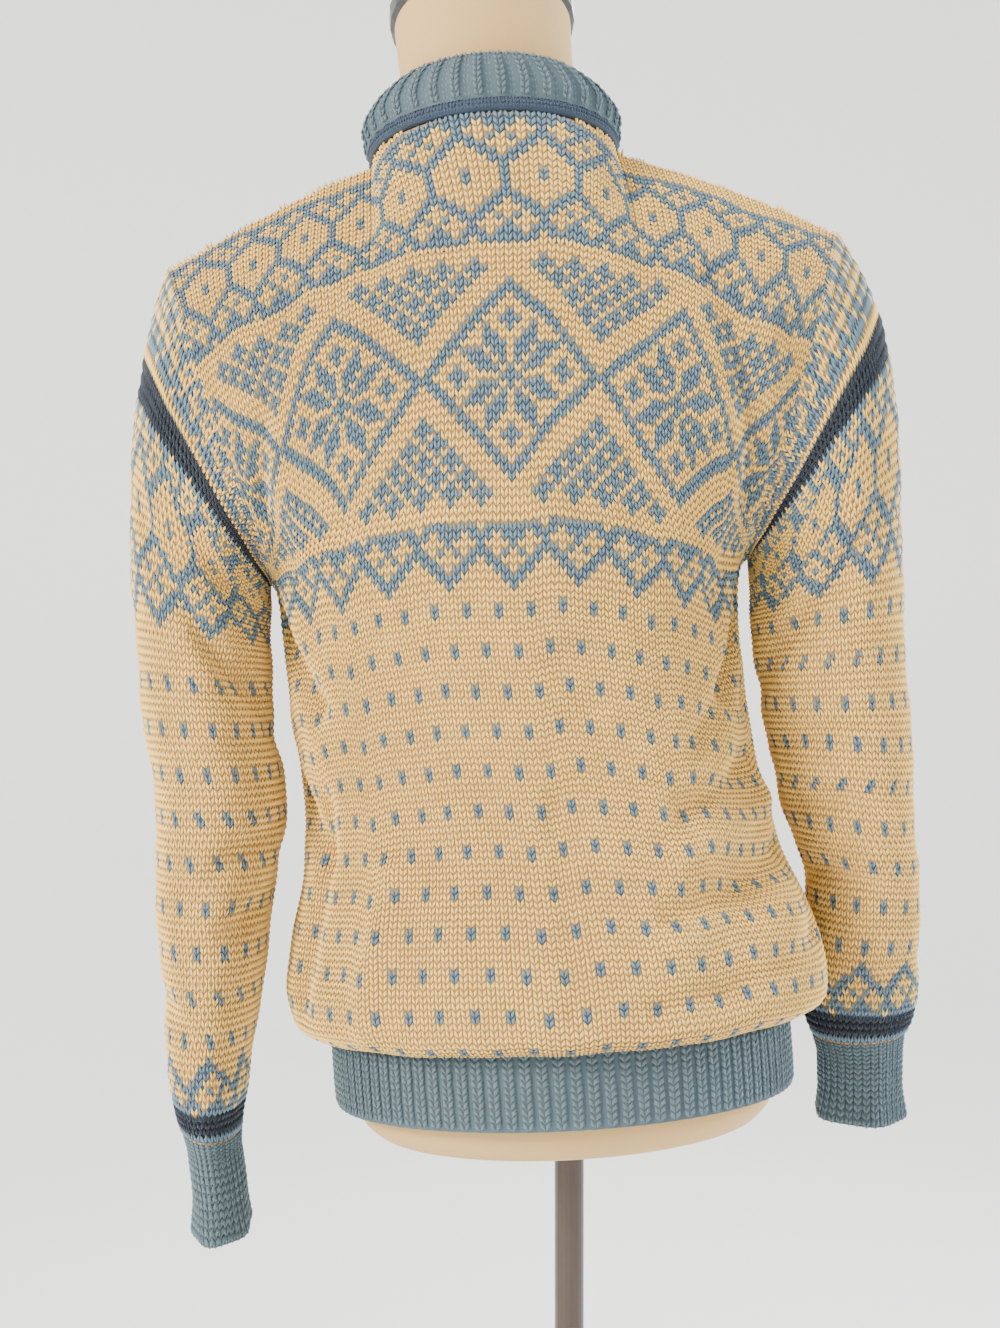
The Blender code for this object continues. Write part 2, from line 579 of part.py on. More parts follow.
def make_bands(rib, plastic):
    across = np.array([-1.0, 1.0]) * (BAND_HALF_WIDTH - SEAM / 2)
    for name, offset in (("button_band", -WALL - SEAM), ("buttonhole_band", BAND_LIFT)):
        line, normal = band_line(band_heights(), offset)
        outer = line[:, None, :] + across[None, :, None] * np.array([1.0, 0, 0])
        inner = outer - normal[:, None, :] * WALL * BAND_BACKING
        wall(name, leaned(outer), leaned(inner), rib)
    for number, height in enumerate(BUTTON_HEIGHTS):
        make_button(f"button_{number + 1}", height, plastic)


def make_button(name, height, plastic):
    """A plain round button that lies on the band."""
    point, normal = band_line(np.array([height]), BAND_LIFT)
    point, normal = leaned(point)[0], normal[0]
    rows = band_heights()
    corners = leaned(band_line(rows, BAND_LIFT)[0])
    even = np.linspace(rows[0], rows[-1], 400)
    near = np.stack([np.interp(even, rows, corners[:, axis]) for axis in range(3)], axis=-1)
    under = np.linalg.norm(near - point, axis=1) < BUTTON_RADIUS
    point = point + normal * (((near[under] - point) @ normal).max() + SEAM)
    side = np.array([1.0, 0, 0])
    up = np.cross(normal, side)
    turn = np.arange(BUTTON_SIDES) / BUTTON_SIDES * 2 * math.pi
    rim = np.cos(turn)[:, None] * side + np.sin(turn)[:, None] * up
    profile = [(0.70, 0.0), (1.0, 0.25), (1.0, 0.7), (0.86, 1.0)]
    rings = [point + BUTTON_RADIUS * out * rim + normal * BUTTON_THICKNESS * lift for out, lift in profile]
    solid_of_rings(name, rings, plastic)


def round_section(half_width, back, front, power, angle):
    """A rounded section seen from above, with its own depth to the back and to the front."""
    cosine, sine = np.cos(angle), np.sin(angle)
    x = half_width * np.sign(sine) * np.abs(sine) ** (2 / power)
    y = np.where(cosine > 0, front, back) * np.sign(cosine) * np.abs(cosine) ** (2 / power)
    return x, y


def form_ring(row, angle):
    """A level ring round the form, which near the neck's top slopes down to the front."""
    height, half_width, back, front, power = row
    x, y = round_section(half_width, back, front, power, angle)
    slope = NECK_SLOPE * np.interp(height, SLOPE_HEIGHTS, (0, 1))
    return leaned(np.stack([x, y, height - slope * y], axis=-1))


def make_form(jersey, wood):
    angle = np.arange(FORM_COLUMNS) / FORM_COLUMNS * 2 * math.pi
    solid_of_rings("form_torso", [form_ring(row, angle) for row in FORM], jersey)
    top, half_width, back, front, power = FORM[-1]
    rings = [form_ring((top + rise, half_width * share, back * share, front * share, power), angle)
             for rise, share in CAP]
    solid_of_rings("neck_cap", rings, wood)


def turned(name, profile, sides, material):
    """A turned piece on the pole's axis. The profile's columns are radius and height."""
    angle = np.arange(sides) / sides * 2 * math.pi
    circle = np.stack([np.cos(angle), np.sin(angle), np.zeros_like(angle)], axis=-1)
    rings = [circle * radius + np.array([0, 0, height]) for radius, height in profile]
    return solid_of_rings(name, rings, material)


def make_stand(steel):
    base = [(BASE_RADIUS, 0.0), (BASE_RADIUS, BASE_THICKNESS - BASE_EDGE),
            (BASE_RADIUS - BASE_EDGE, BASE_THICKNESS)]
    turned("base", base, 48, steel)
    low = BASE_THICKNESS + SEAM
    top = FORM[0][0] - POLE_RADIUS * TIP - SEAM
    turned("pole", [(POLE_RADIUS, low + 0.010), (POLE_RADIUS, top)], 20, steel)
    socket = [(0.030, low), (0.030, low + 0.004), (0.018, low + 0.0095)]
    turned("pole_foot", socket, 24, steel)


def main():
    for old in list(bpy.data.objects):
        bpy.data.objects.remove(old, do_unlink=True)
    materials = {name: make_material(name) for name in COLOURS}
    make_panels(materials["cream_wool"])
    make_sleeves(materials["cream_wool"], materials["blue_wool"])
    make_hem(materials["blue_wool"])
    make_strip(materials["navy_wool"])
    make_collar(materials["blue_wool"])
    make_bands(materials["blue_wool"], materials["button_plastic"])
    make_form(materials["form_jersey"], materials["black_wood"])
    make_stand(materials["bronze_steel"])


main()
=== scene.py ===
"""The look of the knit cardigan on its dress form: stitches, ribs, yarns, folds, stand, light and camera.

Metres, +Z up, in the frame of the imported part. The wearer's back faces -Y.
"""

import math

import bpy
import numpy as np
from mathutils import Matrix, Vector


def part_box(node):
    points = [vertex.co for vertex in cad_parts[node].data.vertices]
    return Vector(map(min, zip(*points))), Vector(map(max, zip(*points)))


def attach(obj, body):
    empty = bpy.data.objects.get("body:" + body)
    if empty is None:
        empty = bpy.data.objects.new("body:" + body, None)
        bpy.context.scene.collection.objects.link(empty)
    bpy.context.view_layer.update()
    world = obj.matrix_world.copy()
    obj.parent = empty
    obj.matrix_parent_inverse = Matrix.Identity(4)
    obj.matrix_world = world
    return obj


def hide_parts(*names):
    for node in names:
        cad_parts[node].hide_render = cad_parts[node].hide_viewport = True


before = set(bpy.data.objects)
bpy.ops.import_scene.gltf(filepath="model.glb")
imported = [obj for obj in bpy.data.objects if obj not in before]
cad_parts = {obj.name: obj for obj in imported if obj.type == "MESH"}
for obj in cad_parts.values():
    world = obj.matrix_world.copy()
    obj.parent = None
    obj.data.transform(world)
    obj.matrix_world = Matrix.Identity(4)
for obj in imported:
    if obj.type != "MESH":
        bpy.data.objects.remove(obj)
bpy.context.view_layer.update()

# Cloth
WALL = 0.0022
COLLAR_WALL = 0.0050
SEAM = 0.0003
RIB_RISE = 0.0012
# The share of the wall that lies behind the furrows of a rib: hem, cuffs and bands
HEM_BACKING = 0.7
CUFF_BACKING = 0.8
BAND_BACKING = 0.9

# Ribs in each ribbed piece
HEM_RIBS = 90
CUFF_RIBS = 32
COLLAR_RIBS = 36

# Rows up one side of an armhole's edge, half a sleeve's columns, and the rows down a sleeve
ARMHOLE_ROWS = 44
SLEEVE_ROWS = 92
SLEEVE_TOP_DEPTH = 0.072
SLEEVE_TOP_BLEND = 0.10

# The knitted length from the rib to the shoulder, half the back's width round the body, the row where the
# armhole starts and the row where the rows begin to bend towards the shoulder line
PANEL_LENGTH = 0.612
HALF_GIRTH = 0.23
ARMPIT_ROW = 0.310
DEVIATION_ROW = 0.400

# The neck opening and the shoulder line, before the form leans
NECK_HALF_WIDTH = 0.078
NECK_SHARE = 0.36
NECK_SIDE_HEIGHT = 1.448
NECK_BACK_HEIGHT = 1.460
NECK_BACK_DEPTH = 0.060
NECK_FRONT_HEIGHT = 1.388
NECK_FRONT_DEPTH = 0.074
SHOULDER_TIP = (0.219, 0.0, 1.386)
SHOULDER_CROWN = 0.004

# The hem rib and the two front bands
HEM_HEIGHT = 0.845
RIB_TOP = 0.9035
BAND_HALF_WIDTH = 0.015
BESIDE_BAND = BAND_HALF_WIDTH + 2 * SEAM
BAND_LIFT = 0.0004
HEM_HALF_WIDTH = 0.1465
HEM_BACK = 0.1065
HEM_FRONT = 0.1110
BUTTON_RADIUS = 0.0075
BUTTON_THICKNESS = 0.0032
BUTTON_HEIGHTS = (0.868, 0.968, 1.068, 1.165, 1.262, 1.358)
BUTTON_SIDES = 40
# The rounds that mark its four holes: distance from the middle, radius, height
HOLE_DISTANCE = 0.0017
HOLE_RADIUS = 0.0007
HOLE_RIM = 0.00035

# The strip and the folded rib at the neck
STRIP_RISE = 0.0075
COLLAR_RISE = 0.030
NECK_GAP = 0.008
# The collar's outer face: share of its rise, distance out, fullness of its ribs. Then its inner face
COLLAR_OUTER = [
    (0.00, 0.0020, 0.5), (0.30, 0.0035, 1.0), (0.62, -0.0010, 1.0), (0.90, -0.0090, 0.7),
    (1.00, -0.0135, 0.2),
]
COLLAR_INNER = [(0.00, 0.0010), (0.50, -0.0030), (0.97, -0.0105)]

# The neck's top slopes down to the front, from level at the first height to full slope at the second
NECK_SLOPE = 0.40
SLOPE_HEIGHTS = (1.470, 1.532)
FORM_COLUMNS = 96

# The bands below the fronts' fullest part: height, distance from the middle plane
BAND_LOWER = [
    (0.845, 0.1125), (0.8585, 0.1150), (0.872, 0.118), (0.8835, 0.1235), (0.895, 0.130),
    (0.9075, 0.1355), (0.920, 0.1395),
]

# How the whole form leans to one side, by height, and how far its level lines tip
LEAN = [
    (0.00, 0.000), (0.80, 0.000), (0.845, -0.003), (0.934, -0.010), (1.00, -0.018), (1.10, -0.033),
    (1.16, -0.039), (1.28, -0.041), (1.386, -0.043), (1.46, -0.050), (1.60, -0.062),
]
TIP = 0.055

# The middle of the back and of the front: row along the cloth, height, distance from the middle plane
CENTRE_BACK = [
    (0.000, 0.903, 0.1080), (0.012, 0.893, 0.117), (0.030, 0.901, 0.130), (0.050, 0.920, 0.134),
    (0.080, 0.950, 0.131), (0.130, 0.998, 0.118), (0.180, 1.047, 0.109), (0.240, 1.107, 0.112),
    (0.310, 1.176, 0.122), (0.380, 1.245, 0.129), (0.440, 1.305, 0.126), (0.500, 1.363, 0.110),
    (0.551, 1.408, 0.087), (0.612, 1.460, 0.060),
]
CENTRE_FRONT = [
    (0.000, 0.903, 0.1125), (0.012, 0.893, 0.121), (0.030, 0.901, 0.131), (0.050, 0.920, 0.134),
    (0.080, 0.950, 0.132), (0.130, 0.998, 0.122), (0.180, 1.047, 0.115), (0.240, 1.107, 0.122),
    (0.310, 1.172, 0.134), (0.380, 1.228, 0.131), (0.440, 1.274, 0.121), (0.500, 1.316, 0.107),
    (0.551, 1.350, 0.092), (0.612, 1.388, 0.074),
]
# The side seam and, above the armpit, the armhole's edge: row, half width, height, depth, turn of the row
SIDE_EDGE = [
    (0.000, 0.1480, 0.903, 0.000, 90), (0.012, 0.157, 0.893, 0.000, 90),
    (0.030, 0.170, 0.901, 0.000, 90), (0.050, 0.173, 0.920, 0.000, 90), (0.080, 0.168, 0.950, 0.000, 90),
    (0.130, 0.153, 0.998, 0.000, 90), (0.180, 0.147, 1.047, 0.000, 90), (0.240, 0.146, 1.107, 0.000, 90),
    (0.290, 0.148, 1.156, 0.000, 90), (0.310, 0.150, 1.175, 0.002, 90), (0.360, 0.153, 1.199, 0.048, 80),
    (0.420, 0.168, 1.250, 0.078, 66), (0.490, 0.193, 1.322, 0.066, 58), (0.550, 0.208, 1.362, 0.036, 55),
    (0.612, 0.219, 1.386, 0.000, 55),
]

# Folds of the body, the largest first: across and row at the start, the same at the end, half width, depth
FOLDS = {
    "back": [
        (-0.62, 0.07, -0.5, 0.2, 0.024, -0.0050), (-0.34, 0.05, -0.3, 0.24, 0.022, -0.0040),
        (0.36, 0.06, 0.8, 0.16, 0.022, -0.0060), (0.44, 0.11, 0.9, 0.22, 0.022, -0.0050),
        (0.14, 0.05, 0.2, 0.22, 0.024, -0.0035), (-0.86, 0.36, -0.62, 0.3, 0.024, -0.0050),
        (0.88, 0.36, 0.66, 0.29, 0.022, -0.0050), (0.28, 0.1, 0.95, 0.13, 0.010, -0.0068),
        (0.4, 0.16, 0.97, 0.19, 0.010, -0.0068), (0.5, 0.2, 0.95, 0.27, 0.012, -0.0060),
        (0.22, 0.045, 0.85, 0.07, 0.010, -0.0056), (0.34, 0.13, 0.93, 0.16, 0.009, 0.0044),
        (-0.76, 0.05, -0.7, 0.17, 0.012, -0.0064), (-0.18, 0.05, -0.12, 0.19, 0.013, -0.0047),
        (-0.48, 0.04, -0.42, 0.13, 0.010, 0.0044), (0.03, 0.05, 0.05, 0.17, 0.011, -0.0047),
        (-0.96, 0.3, -0.66, 0.235, 0.012, -0.0084), (0.97, 0.3, 0.72, 0.23, 0.012, -0.0084),
        (-0.62, 0.5, -0.9, 0.39, 0.014, -0.0056), (0.6, 0.5, 0.88, 0.38, 0.014, -0.0056),
        (-0.98, 0.2, -0.72, 0.14, 0.011, -0.0060),
    ],
    "front": [
        (-0.7, 0.06, -0.56, 0.22, 0.024, -0.0045), (0.42, 0.05, 0.5, 0.2, 0.024, -0.0045),
        (0.84, 0.34, 0.52, 0.3, 0.024, -0.0050), (-0.84, 0.35, -0.54, 0.29, 0.024, -0.0050),
        (-0.3, 0.05, -0.24, 0.17, 0.011, -0.0047), (0.24, 0.05, 0.28, 0.18, 0.012, -0.0052),
        (-0.95, 0.3, -0.62, 0.22, 0.012, -0.0080), (0.95, 0.3, 0.64, 0.23, 0.012, -0.0080),
        (-0.92, 0.12, -0.44, 0.07, 0.010, -0.0060), (0.92, 0.11, 0.46, 0.06, 0.010, -0.0060),
        (0.6, 0.49, 0.88, 0.38, 0.014, -0.0056), (-0.6, 0.49, -0.88, 0.38, 0.014, -0.0056),
    ],
}

# Each sleeve below its armhole, as it hangs: distance out, depth, height, tilt, half across, half deep
SLEEVES = {
    "left": [(0.2355, 0.000, 1.2425, 60, 0.0820, 0.0750), (0.2390, 0.000, 1.2025, 43, 0.0600, 0.0730),
             (0.2385, 0.000, 1.1650, 24, 0.0470, 0.0710), (0.2370, -0.001, 1.1325, 10, 0.0420, 0.0700),
             (0.2345, -0.003, 1.0970, 3, 0.0410, 0.0690), (0.2250, -0.005, 1.0320, 0, 0.0410, 0.0660),
             (0.2285, -0.005, 0.9670, 0, 0.0355, 0.0620), (0.2310, -0.005, 0.9020, 0, 0.0295, 0.0560),
             (0.2325, -0.005, 0.8690, 2, 0.0260, 0.0520), (0.2325, -0.005, 0.8370, 6, 0.0215, 0.0470),
             (0.2310, -0.005, 0.8200, 8, 0.0180, 0.0420)],
    "right": [(0.1625, 0.000, 1.2600, 58, 0.0820, 0.0730), (0.1650, 0.003, 1.2190, 41, 0.0620, 0.0700),
              (0.1670, 0.006, 1.1800, 22, 0.0515, 0.0670), (0.1695, 0.009, 1.1425, 8, 0.0490, 0.0640),
              (0.1735, 0.012, 1.0970, 2, 0.0470, 0.0620), (0.1845, 0.024, 1.0320, -3, 0.0430, 0.0560),
              (0.1985, 0.040, 0.9670, -4, 0.0370, 0.0500), (0.1985, 0.046, 0.9020, 0, 0.0370, 0.0460),
              (0.1980, 0.048, 0.8840, 2, 0.0350, 0.0420), (0.1975, 0.048, 0.8700, 4, 0.0300, 0.0380)],
}
# Each cuff, in the same columns
CUFFS = {
    "left": [(0.2308, -0.005, 0.8195, 8, 0.0172, 0.0410), (0.2290, -0.005, 0.8060, 6, 0.0150, 0.0380),
             (0.2260, -0.005, 0.7820, 2, 0.0150, 0.0380), (0.2240, -0.005, 0.7560, 0, 0.0175, 0.0400)],
    "right": [(0.1976, 0.048, 0.8695, 4, 0.0292, 0.0370), (0.1985, 0.048, 0.8560, 3, 0.0265, 0.0340),
              (0.1985, 0.048, 0.8380, 0, 0.0262, 0.0335), (0.1980, 0.048, 0.8160, 0, 0.0290, 0.0370)],
}
# How far the ribs stand out at each of a cuff's sections
CUFF_FULLNESS = (0.3, 1.0, 1.0, 0.5)
# The dress form: height, half width, back, front, roundness of its section
FORM = [
    (0.8180, 0.060, 0.045, 0.045, 2.0), (0.8190, 0.105, 0.075, 0.078, 2.0),
    (0.8250, 0.123, 0.087, 0.092, 2.0), (0.8380, 0.133, 0.094, 0.099, 2.0),
    (0.8700, 0.136, 0.097, 0.102, 2.0), (0.9300, 0.135, 0.096, 0.101, 2.0),
    (1.0000, 0.122, 0.090, 0.094, 2.0), (1.0600, 0.122, 0.090, 0.094, 2.0),
    (1.1300, 0.130, 0.098, 0.108, 2.0), (1.1900, 0.134, 0.104, 0.112, 2.0),
    (1.2500, 0.138, 0.107, 0.105, 1.9), (1.3100, 0.150, 0.101, 0.088, 1.7),
    (1.3500, 0.158, 0.089, 0.072, 1.45), (1.3720, 0.160, 0.078, 0.060, 1.30),
    (1.3900, 0.140, 0.070, 0.052, 1.25), (1.4150, 0.1015, 0.0620, 0.0500, 1.40),
    (1.4350, 0.072, 0.046, 0.044, 1.80), (1.4600, 0.058, 0.041, 0.044, 2.0),
    (1.4950, 0.056, 0.043, 0.049, 2.0), (1.5320, 0.057, 0.047, 0.052, 2.0),
]

# Knitting: wales in half a panel, the height of a stitch low on the body and in the yoke, and the rows there
HALF_WALES = 49
PLAIN_ROWS = 74
MIDDLE_ROWS = 43
PLAIN_PITCH = 0.00402
MIDDLE_PITCH = 0.00485
YOKE_PITCH = 0.0058
SLEEVE_PITCH = 0.0046
SLEEVE_WALE = 0.00435
YOKE_ROWS = 40
# Samples of the cloth's curve up a panel, between which the stitches are placed
PANEL_SAMPLES = 260
# How deep the plain ground lies under the tops of the stitches
GROUND = 0.0007
# How thick a stitch is, and how unevenly a hand knits it
STITCH_THICK = 0.0042
UNEVEN = 0.06
# How wide the stitches are on each ribbed piece
HEM_STITCH = 0.0074
BAND_STITCH = 0.0062
COLLAR_STITCH = 0.0060
PURL_STITCH = 0.0050
CUFF_STITCH = 0.0056
STRIP_STITCH = 0.0043
STRIP_COLUMNS = 116
# How much the collar's ribs stand out beside the hem's, and how much its purl columns lie back
COLLAR_RELIEF = 1.9
PURL_RELIEF = -0.3
# How much lower the rows of the yoke lie at a panel's sides, and the heights between which that grows
DROOP = 0.021
DROOP_START = 0.04
DROOP_RUN = 0.26
# The share of a half front under the bands, at its ground's edge and at its first column of points, and the
# distance of its first stitch from the middle
BAND_EDGE = 0.0677
BAND_SHARE = 0.075
BESIDE_STITCHES = 0.0172
# A mean radius of the arm, which turns degrees round it into a distance
ARM_RADIUS = 0.055

# Creases of the sleeves: distance down and turn in degrees at both ends, half width, depth.
# A turn of 0 is the outside and 90 the back
CREASES = {
    "left": [(0.085, 55, 0.195, 172, 0.010, -0.0081), (0.055, 80, 0.120, 175, 0.012, -0.0041),
             (0.250, 175, 0.290, 70, 0.010, -0.0047), (0.300, 178, 0.325, 90, 0.009, -0.0041),
             (0.360, 10, 0.385, 95, 0.011, -0.0038), (0.440, 170, 0.465, 60, 0.011, -0.0043),
             (0.500, 0, 0.492, 130, 0.009, -0.0041), (0.275, -175, 0.300, -80, 0.010, -0.0043),
             (0.420, -20, 0.440, -150, 0.011, -0.0041), (0.110, -60, 0.200, -165, 0.011, -0.0061)],
    "right": [(0.090, 60, 0.190, 172, 0.010, -0.0068), (0.235, 172, 0.215, 80, 0.010, -0.0051),
              (0.275, 176, 0.262, 60, 0.009, -0.0046), (0.315, 172, 0.330, 75, 0.010, -0.0046),
              (0.380, 20, 0.400, 120, 0.011, -0.0038), (0.430, 165, 0.450, 50, 0.010, -0.0041),
              (0.475, 5, 0.470, 150, 0.009, -0.0041), (0.250, -170, 0.275, -70, 0.010, -0.0046),
              (0.400, -20, 0.430, -150, 0.011, -0.0041), (0.110, -60, 0.190, -165, 0.011, -0.0061)],
}

# Charts of traditional motifs, each row from the middle of a motif outwards: # is blue and . is cream.
# A motif is twice its row wide, less one
BORDER = ["#....", "##...", ".##..", "..##.", ".#.##", "#...#", "##.##", "####."]
LATTICE = ["####.", "##.##", "#...#", ".#.##", "..##.", ".##..", "##...", "#....", "#...#", "#...#", "#....",
           "##...", ".##..", "..##.", ".#.##", "#...#", "##.##", "#####"]
# The numbers of the three yarns
CREAM, BLUE, NAVY = 0, 1, 2
# The border's first row, the diamonds' middle row, the lattice's first row, and the diamonds' repeat
BORDER_ROW = 74
DIAMOND_ROW = 99
LATTICE_ROW = 117
REPEAT = 24

# Each yarn's slot and colour
YARNS = {
    "cream": ("cream_wool", "#F3C768"),
    "blue": ("blue_wool", "#647C8A"),
    "rib": ("blue_wool", "#54686F"),
    "navy": ("navy_wool", "#16212F"),
    "strip": ("navy_wool", "#2C3D51"),
}
# Painted shade in the depth between stitches: under cream, blue and navy each yarn's colour is darkened for
# the shade there, and in the ribs' furrows the rib yarn is darkened the same way
GROUND_SHADE_COLOURS = ("#B68E50", "#45586A", "#111A26")
# Painted shade: the rib yarn's colour darkened for the shade in the ribs' furrows and on the button band
# under the buttonhole band
FURROW_SHADE_COLOUR = "#485A62"

# The studio: a floor of this radius that bends up into a wall, and the photo's place and angle of view
FLOOR_RADIUS = 3.0
BEND_RADIUS = 1.5
WALL_HEIGHT = 4.0
FLOOR_SIDES = 96
FLOOR_DEPTH = 0.001
SKY_STRENGTH = 1.45
VIEW_PLACE = (-0.045, -1.13, 1.12)
VIEW_ANGLE = 41.8
# Each lamp: place, what it points at, size, power, colour
LAMPS = {
    "window_left": ((-2.2, -1.7, 2.3), (-0.05, 0.0, 1.1), 0.9, 150.0, (1.0, 0.95, 0.87)),
    "window_right": ((2.4, 0.4, 1.9), (-0.05, 0.0, 1.15), 1.0, 90.0, (0.80, 0.90, 1.0)),
    "window_front": ((0.6, 2.6, 2.4), (-0.05, 0.0, 1.1), 1.8, 60.0, (1.0, 0.97, 0.92)),
}


def smooth(table, column, at):
    """The value of one column of a table along its first, on a smooth curve that stays between its rows."""
    rows = np.array([[row[0], row[column]] for row in table], float)
    keys, values = rows[:, 0], rows[:, 1]
    step = np.diff(values) / np.diff(keys)
    slopes = np.zeros_like(values)
    slopes[0], slopes[-1] = step[0], step[-1]
    same_way = step[1:] * step[:-1] > 0
    both = np.where(same_way, step[1:] + step[:-1], 1)
    slopes[1:-1] = np.where(same_way, 2 * step[1:] * step[:-1] / both, 0)
    at = np.clip(np.asarray(at, float), keys[0], keys[-1])
    spot = np.clip(np.searchsorted(keys, at) - 1, 0, len(keys) - 2)
    gap = keys[spot + 1] - keys[spot]
    t = (at - keys[spot]) / gap
    start = (2 * t**3 - 3 * t**2 + 1) * values[spot] + (t**3 - 2 * t**2 + t) * gap * slopes[spot]
    end = (3 * t**2 - 2 * t**3) * values[spot + 1] + (t**3 - t**2) * gap * slopes[spot + 1]
    return start + end


def unit(vectors):
    """The same directions, with the length 1."""
    return vectors / np.linalg.norm(vectors, axis=-1, keepdims=True)


def leaned(points):
    """Points of the upright body, moved as the form leans on its pole."""
    out = np.array(points, float)
    out[..., 0] += smooth(LEAN, 1, points[..., 2])
    out[..., 2] += points[..., 0] * TIP
    return out


def row_shape(across, row, centre):
    """A row from the middle, across 0, to the side edge, across 1: part of an ellipse seen from above."""
    turn = np.radians(smooth(SIDE_EDGE, 4, row))
    angle = across * turn
    middle = smooth(centre, 2, row)
    edge_depth = smooth(SIDE_EDGE, 3, row)
    share = (np.cos(angle) - np.cos(turn)) / (1 - np.cos(turn))
    x = smooth(SIDE_EDGE, 1, row) * np.sin(angle) / np.sin(turn)
    y = edge_depth + (middle - edge_depth) * share
    low = smooth(centre, 1, row)
    z = low + (smooth(SIDE_EDGE, 2, row) - low) * across**1.6
    return np.stack([x, y, z], axis=-1)


def top_edge(across, height, depth):
    """The neck edge from the middle, then the shoulder seam out to the tip."""
    round_neck = np.clip(across / NECK_SHARE, 0, 1) * math.pi / 2
    out = np.clip((across - NECK_SHARE) / (1 - NECK_SHARE), 0, 1)
    x = NECK_HALF_WIDTH * np.sin(round_neck) + (SHOULDER_TIP[0] - NECK_HALF_WIDTH) * out
    y = depth * np.cos(round_neck)
    z = height + (NECK_SIDE_HEIGHT - height) * (1 - np.cos(round_neck))
    z = z + (SHOULDER_TIP[2] - NECK_SIDE_HEIGHT) * out + SHOULDER_CROWN * np.sin(math.pi * out)
    return np.stack([x, y, z], axis=-1)


def from_line(x, y, start, end):
    """How far places on the flat cloth are from a line, and their share of the way along it."""
    along = end - start
    share = np.clip(((x - start[0]) * along[0] + (y - start[1]) * along[1]) / (along @ along), 0, 1)
    return np.hypot(x - start[0] - share * along[0], y - start[1] - share * along[1]), share


def fold_depth(face, across, row):
    """How far the folds of one face move its cloth in or out."""
    total = np.zeros(np.broadcast(across, row).shape)
    for across_0, row_0, across_1, row_1, width, depth in FOLDS[face]:
        start = np.array([across_0 * HALF_GIRTH, row_0])
        end = np.array([across_1 * HALF_GIRTH, row_1])
        away, _ = from_line(across * HALF_GIRTH, row, start, end)
        total = total + depth * np.exp(-((away / width) ** 2))
    return total


def body(face, across, row):
    """A point of the body's cloth, before folds and lean. across runs from -1 to 1 over the whole face."""
    across, row = np.broadcast_arrays(np.asarray(across, float), np.asarray(row, float))
    centre = CENTRE_BACK if face == "back" else CENTRE_FRONT
    height, depth = (centre[-1][1], centre[-1][2])
    size = np.abs(across)
    points = row_shape(size, row, centre)
    full = np.full_like(row, PANEL_LENGTH)
    near_top = np.clip((row - DEVIATION_ROW) / (PANEL_LENGTH - DEVIATION_ROW), 0, 1) ** 2
    points = points + near_top[..., None] * (top_edge(size, height, depth) - row_shape(size, full, centre))
    points[..., 0] *= np.sign(across)
    points[..., 1] *= -1 if face == "back" else 1
    return points


def face_normal(face, across, row):
    """The outward direction of the body's cloth."""
    step = 0.002
    across, row = np.broadcast_arrays(np.asarray(across, float), np.asarray(row, float))
    left = body(face, np.clip(across - step, -1, 1), row)
    right = body(face, np.clip(across + step, -1, 1), row)
    low = body(face, across, np.clip(row - step, 0, PANEL_LENGTH))
    high = body(face, across, np.clip(row + step, 0, PANEL_LENGTH))
    normal = np.cross(right - left, high - low)
    return unit(normal if face == "back" else -normal)


def body_normal(face, across, row):
    """The same, shared by the front and the back along the shoulder seam so that their walls meet."""
    other = "front" if face == "back" else "back"
    own = face_normal(face, across, row)
    shared = unit(own + face_normal(other, across, row))
    on_seam = (np.asarray(row) > PANEL_LENGTH - 0.001) & (np.abs(across) > NECK_SHARE * 0.9)
    return np.where(np.broadcast_to(on_seam, own.shape[:-1])[..., None], shared, own)


def fade(face, across, row):
    """Folds die away at the edges of a panel, where it is sewn."""
    side = np.clip((1 - np.abs(across)) / 0.10, 0, 1)
    ends = np.clip(row / 0.03, 0, 1) * np.clip((PANEL_LENGTH - row) / 0.05, 0, 1)
    middle = np.clip((np.abs(across) - 0.07) / 0.06, 0, 1) if face == "front" else 1.0
    return side * ends * middle


def armhole_rows():
    """The rows of the armhole's edge, from the armpit to the shoulder tip."""
    return np.linspace(ARMPIT_ROW, PANEL_LENGTH - SEAM * 0.7, ARMHOLE_ROWS + 1)


def hem_line(angle, rise, out=0.0):
    """A point of the ribbed hem: angle 0 at the middle of the front, growing towards the wearer's right."""
    x = (HEM_HALF_WIDTH + out) * np.sin(angle)
    front = np.cos(angle) > 0
    depth = np.where(front, HEM_FRONT, HEM_BACK) + out
    return np.stack([x, depth * np.cos(angle), np.broadcast_to(HEM_HEIGHT + rise, x.shape)], axis=-1)


def armhole(side):
    """The armhole's edge and its direction out, from the shoulder tip down the back and up the front."""
    down = armhole_rows()[::-1]
    row = np.concatenate([down, down[-2:0:-1]])
    by_back = np.arange(len(row)) <= ARMHOLE_ROWS
    share = (down[0] - row) / (down[0] - ARMPIT_ROW)
    edge = np.full_like(row, side)
    points = np.where(by_back[:, None], body("back", edge, row), body("front", edge, row))
    normals = np.where(by_back[:, None], body_normal("back", edge, row), body_normal("front", edge, row))
    return points, normals, share


def ellipse_ring(side, section, angle):
    """The points of a sleeve's section at the given angles round it."""
    out, depth, height, tilt, half_across, half_deep = section
    tilt = math.radians(tilt)
    across = np.array([side * math.cos(tilt), 0, math.sin(tilt)])
    centre = np.array([side * out, depth, height])
    back = np.array([0, -1, 0])
    return centre + half_across * np.cos(angle)[:, None] * across + half_deep * np.sin(angle)[:, None] * back


def sections_between(table, count):
    """Sections at even steps along a sleeve, read from a smooth curve through its table."""
    spots = np.array([[row[0], row[1], row[2]] for row in table])
    run = np.concatenate([[0], np.cumsum(np.linalg.norm(np.diff(spots, axis=0), axis=1))])
    keyed = [(distance, *row) for distance, row in zip(run, table)]
    places = np.linspace(0, run[-1], count)
    return [tuple(float(smooth(keyed, column, place)) for column in range(1, 7)) for place in places], places


